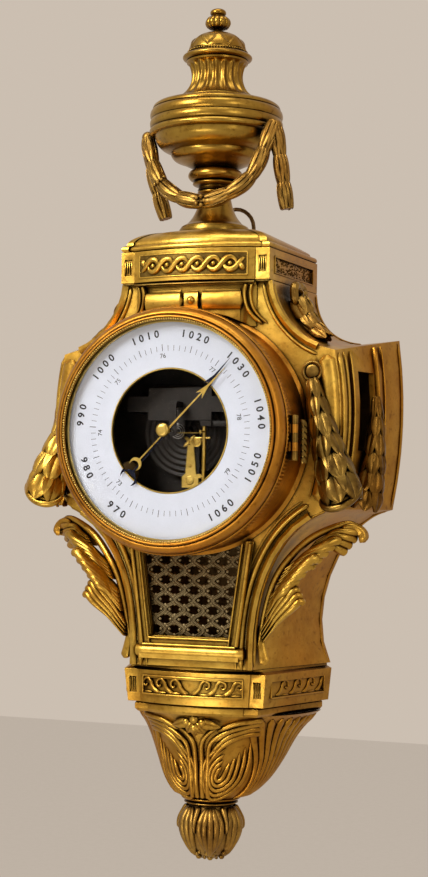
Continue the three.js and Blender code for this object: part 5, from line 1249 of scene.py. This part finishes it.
# Pillows of the neck
pile = Pile()
PILLOW_Z = 104.6
for first, last, high in ((7.2, 42, 3.0), (-42, -7.2, 3.0), (-6.4, 6.4, 2.5)):
    xs = [first + (last - first) * k / 16 for k in range(17)]
    path = [Vector((x, neck_front(x), PILLOW_Z)) for x in xs]
    outs = [Vector((2 * 6.3 * p.x / NECK_HALF ** 2, -1, 0)).normalized() for p in path]
    ridge(pile, path, outs, 14.5, high, 12, (0.03, 0.03), 1.0)
ball(pile, (0, neck_front(0) - 2.0, PILLOW_Z), 3.4, 8, 14)
for side in (1, -1):
    bends = ((44, -100.5, 118), (42.5, -100.2, 110), (44, -99.2, 100), (49, -98, 92), (56, -96.5, 86))
    scroll = through([Vector((side * x, y, z)) for x, y, z in bends], 6)
    ridge(pile, scroll, FORWARD, 3.4, 3.4, 8, (0.06, 0.1), 1.0)
    ridge(pile, [p + Vector((side * 4.2, 1.5, 0)) for p in scroll], FORWARD, 2.6, 2.2, 8, (0.06, 0.1), 1.0)
pile.done("neck_pillows", GILT)

# Small leaves on the hinge's block
pile = Pile()
for k in range(7):
    z = 9.0 - k * 4.6
    for y, way in ((-131.0, -1), (-128.5, 1)):
        a, b = Vector((101.0, y, z)), Vector((103.2, y + way * 2.6, z - 5.2))
        leaf(pile, [a.lerp(b, t / 5) for t in range(6)], [Vector((1, -0.2, 0))] * 6, 3.6, 0.9)
pile.done("hinge_leaves", AGED_AND_SHADED)

# Laurels, with a rosette at the head of each front one

for side, word in ((1, "right"), (-1, "left")):
    # painted shade: the right-hand laurels take the darker gilt, the left-hand ones the plain gilt
    mat = AGED_AND_SHADED if side > 0 else GILT
    pile = Pile()

    def thick(share):
        return 15.8 * (0.36 + 0.64 * min(1, share * 1.12) ** 1.1)

    points = [Vector((side * (98 + 28 * s ** 1.25), -95.3 - thick(s) * 0.7, 47 - 95 * s))
              for s in (0.06, 0.22, 0.4, 0.6, 0.8, 1.0)]
    laurel(pile, points, lambda s: thick(s) * (0.92 if s < 0.9 else 0.88), 6, FORWARD, 1.75, 1.5, 0.12,
           0.42)
    rosette = profile([(0, 95.3), (8.4, 95.3)], [(8.4, 95.3), (8.7, 98.0), (7.6, 99.6), (6.2, 99.0)],
                      [(6.2, 99.0), (6.0, 97.6)],
                      [(5.6, 97.6), (5.3, 98.4), (4.4, 98.7), (2.4, 98.8), (0, 98.8)])
    turn(pile, rosette, "y", (side * 98, 48), 48)
    end = points[-1]
    way = (points[-1] - points[-2]).normalized()
    across = Vector((side, 0, 0.3)).normalized()
    for wide, deep, back in ((16.4, 13.8, 3.0), (12.0, 10.5, 0.0)):
        rim = []
        for k in range(25):
            a = math.pi * (0.02 + 0.96 * k / 24)
            rim.append(end - way * (4 - back * 0.5) + across * math.cos(a) * wide
                       + Vector((0, -0.62, -0.78)) * math.sin(a) * deep)
        strand(pile, rim, lambda s: 1.6 + 1.6 * math.sin(math.pi * s), 10)
    pile.stands_for("ear_laurel_%s_leaves" % word, "ear_laurel_" + word, mat)

    pile = Pile()
    spots = [on_case("ear", (71.6 - z) / 129.6, 0.45, 5.5, side) for z in (30, 14, -3, -20, -37, -52)]
    laurel(pile, [p for p, _ in spots], lambda s: 11.5 * (0.35 + 0.65 * min(1, s * 1.2)), 6, spots[0][1],
           1.75, 1.45, 0.12, 0.4, 9)
    pile.stands_for("side_laurel_%s_leaves" % word, "side_laurel_" + word, mat)

    pile = Pile()
    spots = [on_case("shoulder", t, depth, 4.5, side)
             for t, depth in ((0.2, 0.38), (0.35, 0.37), (0.5, 0.36), (0.65, 0.34), (0.8, 0.32))]
    laurel(pile, [p for p, _ in spots], lambda s: 10.4 * (1.0 - 0.5 * s), 3, spots[0][1], 1.9, 1.5, 0.13,
           0.42, 4)
    head, out = on_case("shoulder", 0.17, 0.38, 3.0, side)
    for turned in (1, -1):
        scroll = []
        for k in range(34):
            a = TAU * 1.3 * k / 33
            reach = 10.4 * (1 - 0.8 * k / 33)
            beside = out.cross(UPWARD).normalized() * turned
            spot = head + out * (1.5 + 5.0 * k / 33)
            spot = spot + beside * (5.2 - math.cos(a) * reach * 0.66)
            scroll.append(spot + UPWARD * (math.sin(a) * reach + 1))
        strand(pile, scroll, lambda s: 4.2 - 1.4 * s, 8)
    ball(pile, head + out * 4 + Vector((0, 0, -3)), 6.4, 8, 12)
    pile.stands_for("shoulder_drop_%s_leaves" % word, "shoulder_drop_" + word, LEAFY)

# Acanthus leaves: fans of rounded fingers that spring from a stem and curl over at the tip

STEM = [(54, -89, -168), (59, -90, -140), (66, -89, -116), (76, -87, -99), (92, -81, -82), (110, -74, -72),
        (122, -69, -69), (129, -66, -74)]
TAIL = ((57, -88, -150), (56, -88.5, -160), (58, -89, -172), (60, -89, -180))
CURL = ((116, -70, -74), (124, -67, -72), (130, -65, -76), (131, -66, -83))
FANS = [((57, -88.5, -160), (70, -93, -141), (86, -96, -123), (-2, 0, 8), (-5, 0, 10), 4, 5.6),
        ((61, -89.5, -138), (76, -95, -119), (90, -97, -108), (3, 0, 14), (15, 1, 18), 5, 6.6),
        ((70, -88, -114), (88, -89, -99), (104, -84, -92), (5, 1, 11), (14, 4, 15), 5, 6.4),
        ((92, -81, -89), (108, -76, -80), (121, -69, -83), (5, 1, 6), (8, 4, 11), 4, 6.0)]
for side, word in ((1, "right"), (-1, "left")):
    def flip(p):
        return Vector((p[0] * side, p[1], p[2]))

    pile = Pile()
    stem = through([flip(p) for p in STEM], 6)
    strand(pile, stem, lambda s: 1.6 + 1.6 * math.sin(math.pi * s), 10)
    face = flip((0.35, -0.93, 0.1)).normalized()
    for start, bend, tip, foot, step, count, wide in FANS:
        for k in range(count):
            u = k / (count - 1) - 0.5
            end = flip(Vector(tip) + Vector(step) * u * 1.3)
            root = flip(Vector(start) + Vector(foot) * (u + 0.2))
            mid = flip(Vector(bend) + Vector(foot).lerp(Vector(step),
                                                        0.5) * u + Vector((0, -1.5 + 5 * u * u, 0)))
            over = end + flip((2.4, 2.8, -0.8 - 2 * abs(u)))
            path = through([root, root.lerp(mid, 0.55), mid, mid.lerp(end, 0.6) + face * 2.0, end, over], 5)
            swell = lambda s, w=wide: w * (0.4 + 0.85 * math.sin(math.pi * min(1, s * 1.02) * 0.6) ** 2)
            ridge(pile, path, face, swell, 4.6, 9, (0.05, 0.1), 2.6)
    tail = through([flip(p) for p in TAIL], 6)
    ridge(pile, tail, face, lambda s: 5.0 + 4.0 * s, 1.8, 8, (0.1, 0.12), 1.5)
    curl = through([flip(p) for p in CURL], 6)
    for shift, wide in ((-3.4, 5.0), (0.0, 6.0), (3.4, 5.0)):
        beside = [p + Vector((0, shift, -abs(shift) * 0.2)) for p in curl]
        ridge(pile, beside, transport(curl, flip((0.2, -0.5, 1)).normalized()), wide, 4.2, 8, (0.1, 0.2),
              1.5)
    pile.stands_for("acanthus_%s_fingers" % word, "acanthus_leaf_" + word)

# Bowl: a smooth shell with reeds and two eyed lobes on it

LOWER_AXIS = (0, -45)
BOWL_TOP, BOWL_HEIGHT, BOWL_HALF, BOWL_REACH = -222.9, 71.0, 82.0, 88.0
BOWL_ROWS = through([(0, 0.96, 0.95), (0.12, 0.83, 0.8), (0.3, 0.72, 0.69), (0.54, 0.62, 0.58),
                     (0.74, 0.525, 0.48), (0.88, 0.42, 0.365), (0.96, 0.31, 0.28), (1, 0.256, 0.24)], 5)
BOWL_CENTRES = through([(0, 0.05, 0), (0.12, 0.11, 0), (0.3, 0.18, 0), (0.54, 0.25, 0), (0.74, 0.34, 0),
                        (0.88, 0.43, 0), (0.96, 0.49, 0), (1, 0.51, 0)], 5)


def bowl_row(v):
    v = max(0.0, min(v, 0.9999))
    i = max(k for k, row in enumerate(BOWL_ROWS[:-1]) if row[0] <= v)
    t = (v - BOWL_ROWS[i][0]) / (BOWL_ROWS[i + 1][0] - BOWL_ROWS[i][0])
    row = BOWL_ROWS[i].lerp(BOWL_ROWS[i + 1], t)
    return row[1], row[2], BOWL_CENTRES[i].lerp(BOWL_CENTRES[i + 1], t)[1]


def on_bowl(degrees, v, side=1):
    """A point of the bowl: 90 degrees is the front, 0 the side; v runs down from the rim."""
    half, reach, centre = bowl_row(v)
    a = math.radians(degrees)
    return Vector((math.cos(a) * half * BOWL_HALF * side,
                   min(0.0, -centre * BOWL_REACH - math.sin(a) * reach * BOWL_REACH),
                   BOWL_TOP - v * BOWL_HEIGHT))


def bowl_path(points, side=1):
    path = [on_bowl(a, v, side) for a, v in points]
    outs = []
    for a, v in points:
        round_way = on_bowl(a + 1, v, side) - on_bowl(a - 1, v, side)
        down = on_bowl(a, min(v + 0.01, 0.999), side) - on_bowl(a, max(v - 0.01, 0), side)
        out = round_way.cross(down).normalized()
        outward = Vector((math.cos(math.radians(a)) * side, -1, 0))
        outs.append(out if out.y < 0 or out.dot(outward) > 0 else -out)
    return path, outs


pile = Pile()
rows, sides = 48, 96
verts = [on_bowl(360 * k / sides, j / rows * 0.9999) for j in range(rows + 1) for k in range(sides)]
rings(pile, verts, sides, rows)
for a in (-8.5, -2.9, 2.9, 8.5):
    sign = 1 if a > 0 else -1
    spots = [(90 + a * 1.5, 0.96), (90 + a * 1.1, 0.8), (90 + a, 0.5), (90 + a * 1.2, 0.32),
             (90 + a * 1.9 + sign * 3, 0.2), (90 + a * 2.6 + sign * 7, 0.13)]
    path, outs = bowl_path(flat(spots))
    ridge(pile, path, outs, lambda s: 5.2 - 1.4 * s, 3.2, 8, (0.05, 0.12), 0.8)
for side in (1, -1):
    eye_a, eye_v, per = 70.5, 0.70, 0.75

    def around_eye(points):
        return [(eye_a - x / per, eye_v - z / BOWL_HEIGHT) for x, z in points]

    for reach in (2.8, 6.4, 10.0, 13.6, 17.0):
        ring = [(0.75 * reach + 4, 1.15 * reach + 8), (1.1 * reach + 1, 0.5 * reach),
                (1.15 * reach, -0.3 * reach), (0.7 * reach, -0.9 * reach), (0, -1.08 * reach),
                (-0.5 * reach, -0.72 * reach), (-0.68 * reach, 0.1 * reach),
                (-0.5 * reach, 0.85 * reach + 1), (0.1 * reach + 1, 1.35 * reach + 5)]
        path, outs = bowl_path(around_eye(flat(ring)), side)
        ridge(pile, path, outs, 4.1, 2.6, 7, (0.08, 0.08), 0.6)
    for k in range(4):
        finger = [(-8 + 1.4 * k, 10 + 9 * k), (0 + 1.6 * k, 25 + 6.4 * k), (11 + 0.6 * k, 34 + 4.2 * k),
                  (22 - 1.6 * k, 35 + 4.6 * k)]
        path, outs = bowl_path([(a, max(v, 0.04)) for a, v in around_eye(flat(finger))], side)
        ridge(pile, path, outs, lambda s: 4.0 + 1.8 * s, 3.1, 8, (0.1, 0.14), 0.6)
    for k in range(9):
        low_a, high_a = 27 - 4.4 * k, 56 - 7.4 * k
        reed = [(low_a + (high_a - low_a) * t ** 1.3,
                 0.965 - 0.925 * t) for t in [j / 20 for j in range(21)]]
        path, outs = bowl_path(reed, side)
        ridge(pile, path, outs, lambda s: 2.4 + 5.2 * s, 2.3, 7, (0.04, 0.03), 0.6)
knob = on_bowl(90, 0.06)
for dx, dz, size in ((0, 1.5, 4.4), (-6.6, -1.2, 3.6), (6.6, -1.2, 3.6), (0, -6.0, 3.4)):
    ball(pile, knob + Vector((dx, -2.0, dz)), size, 8, 14, 0.8)
for a, reach in ((-0.25, 21), (0.35, 15), (math.pi + 0.25, 21), (math.pi - 0.35, 15), (-1.05, 14),
                 (math.pi + 1.05, 14), (-1.57, 15)):
    tip = knob + Vector((math.cos(a) * reach, 1.5 if abs(math.cos(a)) < 0.9 else 3.0,
                         math.sin(a) * reach * 0.8 - 0.5))
    path = []
    for t in range(8):
        path.append((knob + FORWARD * 0.5).lerp(tip, t / 7) + FORWARD * (3.4 * math.sin(math.pi * t / 7)))
    leaf(pile, path, [FORWARD] * 8, 8.0, 1.4, 0.9, 0.4)
turn(pile, profile([(0, -291.6), (23.4, -291.6)], [(23.4, -291.6), (24.2, -292.6), (23.2, -293.6)],
                   [(23.2, -293.6), (0, -293.7)]), "z", LOWER_AXIS, 96)
pile.stands_for("bowl_reeded", "bowl")

# Bud: overlapping veined leaves round a core, with a rough tip

BUD_TOP, BUD_R, BUD_H = -294.2, 27.2, 50.0
BUD_LINE = through([(0.62, 0, 0), (0.77, -0.02, 0), (0.8, -0.05, 0), (0.66, -0.09, 0), (0.74, -0.18, 0),
                    (0.87, -0.32, 0), (0.88, -0.45, 0), (0.78, -0.62, 0), (0.58, -0.78, 0),
                    (0.32, -0.92, 0), (0.0, -0.99, 0)], 4)
pile = Pile()
turn(pile, [(0, BUD_TOP)] + [(max(p.x, 0) * BUD_R, BUD_TOP + p.y * BUD_H) for p in BUD_LINE], "z",
     LOWER_AXIS, 96)


def bud_radius(z):
    spots = sorted((BUD_TOP + p.y * BUD_H, p.x * BUD_R) for p in BUD_LINE)
    for (z0, r0), (z1, r1) in zip(spots, spots[1:]):
        if z0 <= z <= z1:
            return r0 + (r1 - r0) * (z - z0) / max(z1 - z0, 1e-6)
    return 0.0


def bud_rib(turned, top, bottom, splay, width, high, lift=0.6):
    """One vein of a bud leaf, bulging sideways in the middle of its run."""
    path, outs = [], []
    for step in range(15):
        u = step / 14
        z = BUD_TOP + (top + (bottom - top) * u) * BUD_H
        a = turned + splay * math.sin(math.pi * (0.12 + 0.84 * u)) ** 0.8
        out = Vector((math.cos(a), math.sin(a), 0))
        path.append(Vector((*LOWER_AXIS, z)) + out * (bud_radius(z) + lift))
        outs.append((out + Vector((0, 0, 0.3 - 1.1 * u))).normalized())
    ridge(pile, path, outs, width, high, 8, (0.1, 0.16), 2.0)


for k in range(6):
    middle = TAU * k / 6 - math.pi / 2 + 0.35
    for vein in range(-2, 3):
        bud_rib(middle, -0.1, -0.92 + 0.04 * abs(vein), vein * 0.19, 5.8 - 0.5 * abs(vein),
                3.6 - 0.9 * abs(vein))
    bud_rib(middle + TAU / 12, -0.09, -0.5, 0.0, lambda s: 5.4 * (1 - 0.6 * s), 3.0)
    for shift, drop, size in ((-0.16, -0.84, 2.2), (0.14, -0.86, 2.0), (0.0, -0.91, 2.6)):
        z = BUD_TOP + drop * BUD_H
        reach = bud_radius(z) + 1.2
        ball(pile, (math.cos(middle + shift) * reach, LOWER_AXIS[1] + math.sin(middle + shift) * reach, z),
             size, 7, 10)
for k in range(34):
    a, z = rng.uniform(0, TAU), rng.uniform(-0.96, -0.8)
    reach = bud_radius(BUD_TOP + z * BUD_H) * 0.98
    ball(pile, (math.cos(a) * reach, LOWER_AXIS[1] + math.sin(a) * reach, BUD_TOP + z * BUD_H),
         rng.uniform(1.0, 1.8), 5, 7)
pile.stands_for("bud_finial_leaves", "bud_finial")

# Camera, light and surroundings

scene = bpy.context.scene
AZ, EL, ROLL = math.radians(20.88), math.radians(2.15), math.radians(0.904)
ahead = Vector((-math.sin(AZ) * math.cos(EL), math.cos(AZ) * math.cos(EL), math.sin(EL)))
right = Vector((math.cos(AZ), math.sin(AZ), 0))
up = right.cross(ahead)
turned_right = right * math.cos(ROLL) + up * math.sin(ROLL)
turned_up = up * math.cos(ROLL) - right * math.sin(ROLL)
lens = bpy.data.cameras.new("camera")
lens.sensor_width = 36.0
lens.lens = 69.78
lens.clip_end = 20
camera = bpy.data.objects.new("camera", lens)
scene.collection.objects.link(camera)
basis = Matrix((turned_right, turned_up, -ahead)).transposed().to_4x4()
camera.matrix_world = Matrix.Translation(Vector((493.8, -1345.9, -54.1)) * MM) @ basis
scene.camera = camera
scene.view_settings.view_transform = "Standard"


def lamp(name, place, size, power, colour=(1, 1, 1), aim=(0, -0.08, 0)):
    light = bpy.data.lights.new(name, "AREA")
    light.shape = "RECTANGLE"
    light.size, light.size_y = size
    light.energy = power
    light.color = colour
    obj = bpy.data.objects.new(name, light)
    scene.collection.objects.link(obj)
    obj.location = place
    obj.rotation_euler = (Vector(aim) - Vector(place)).to_track_quat("-Z", "Y").to_euler()


lamp("key", (-0.75, -1.55, 1.05), (0.5, 0.85), 32, (1, 0.97, 0.92))
lamp("fill", (1.5, -1.3, 0.5), (0.3, 1.2), 4.5, (1, 0.96, 0.9))
lamp("low", (-0.2, -1.7, -0.75), (0.9, 0.35), 6, (1, 0.94, 0.86))
lamp("top", (0.1, -0.5, 1.5), (0.9, 0.5), 7, (1, 0.98, 0.95))

PALE = (0.60, 0.52, 0.44)


def seen(tree):
    """One for the rays of the camera and for those that metal and glass send on."""
    paths = put(tree, "LightPath", {})
    out = paths.outputs["Is Camera Ray"]
    for name in ("Is Glossy Ray", "Is Transmission Ray"):
        either = put(tree, "Math", {0: out, 1: paths.outputs[name]})
        either.operation = "MAXIMUM"
        out = either.outputs[0]
    return out


def lead_to(tree, end, share, plain, pale):
    """Mix two shaders by a share and lead them to an output node."""
    join = put(tree, "MixShader", {"Fac": share, 1: plain, 2: pale})
    feed(tree, end, {"Surface": join.outputs[0]})


def pale_to_the_eye(tree, part):
    """Mix the pale background into a staging material for the rays that see it."""
    end = next(n for n in tree.nodes if n.type == "OUTPUT_MATERIAL")
    plain = end.inputs["Surface"].links[0].from_socket
    some = put(tree, "Math", {0: seen(tree), 1: part})
    some.operation = "MULTIPLY"
    lead_to(tree, end, some.outputs[0], plain, put(tree, "Emission", {"Color": PALE}).outputs[0])


floor = bpy.data.meshes.new("floor")
floor.from_pydata([(-6, -6, -1.1), (6, -6, -1.1), (6, 6, -1.1), (-6, 6, -1.1)], [], [(0, 1, 2, 3)])
floor.materials.append(material("floor", (0.72, 0.66, 0.59), 0.7, 0.0,
                                worked((0.74, 0.68, 0.61), (0.68, 0.62, 0.55), 30.0, rough=(0.6, 0.8))))
pale_to_the_eye(floor.materials[0].node_tree, 0.6)
ground = bpy.data.objects.new("floor", floor)
scene.collection.objects.link(ground)

world = bpy.data.worlds.new("world")
scene.world = world
world.use_nodes = True
tree = world.node_tree
background = tree.nodes["Background"]
pale = put(tree, "Background", {"Color": PALE, "Strength": 1.0})
way = put(tree, "TexCoord", {}).outputs["Generated"]
rise = put(tree, "SeparateXYZ", {"Vector": way}).outputs["Z"]
height = put(tree, "MapRange", {"From Min": -1, "Value": rise}).outputs["Result"]
sky = ramp(tree, height, [(0.0, (0.10, 0.065, 0.04)), (0.42, (0.12, 0.085, 0.06)),
                          (0.56, (0.32, 0.27, 0.22)), (0.72, (0.16, 0.13, 0.11)), (1.0, (0.85, 0.8, 0.74))])
feed(tree, background, {"Color": sky, "Strength": 0.95})
lead_to(tree, tree.nodes["World Output"], seen(tree), background.outputs[0], pale.outputs[0])
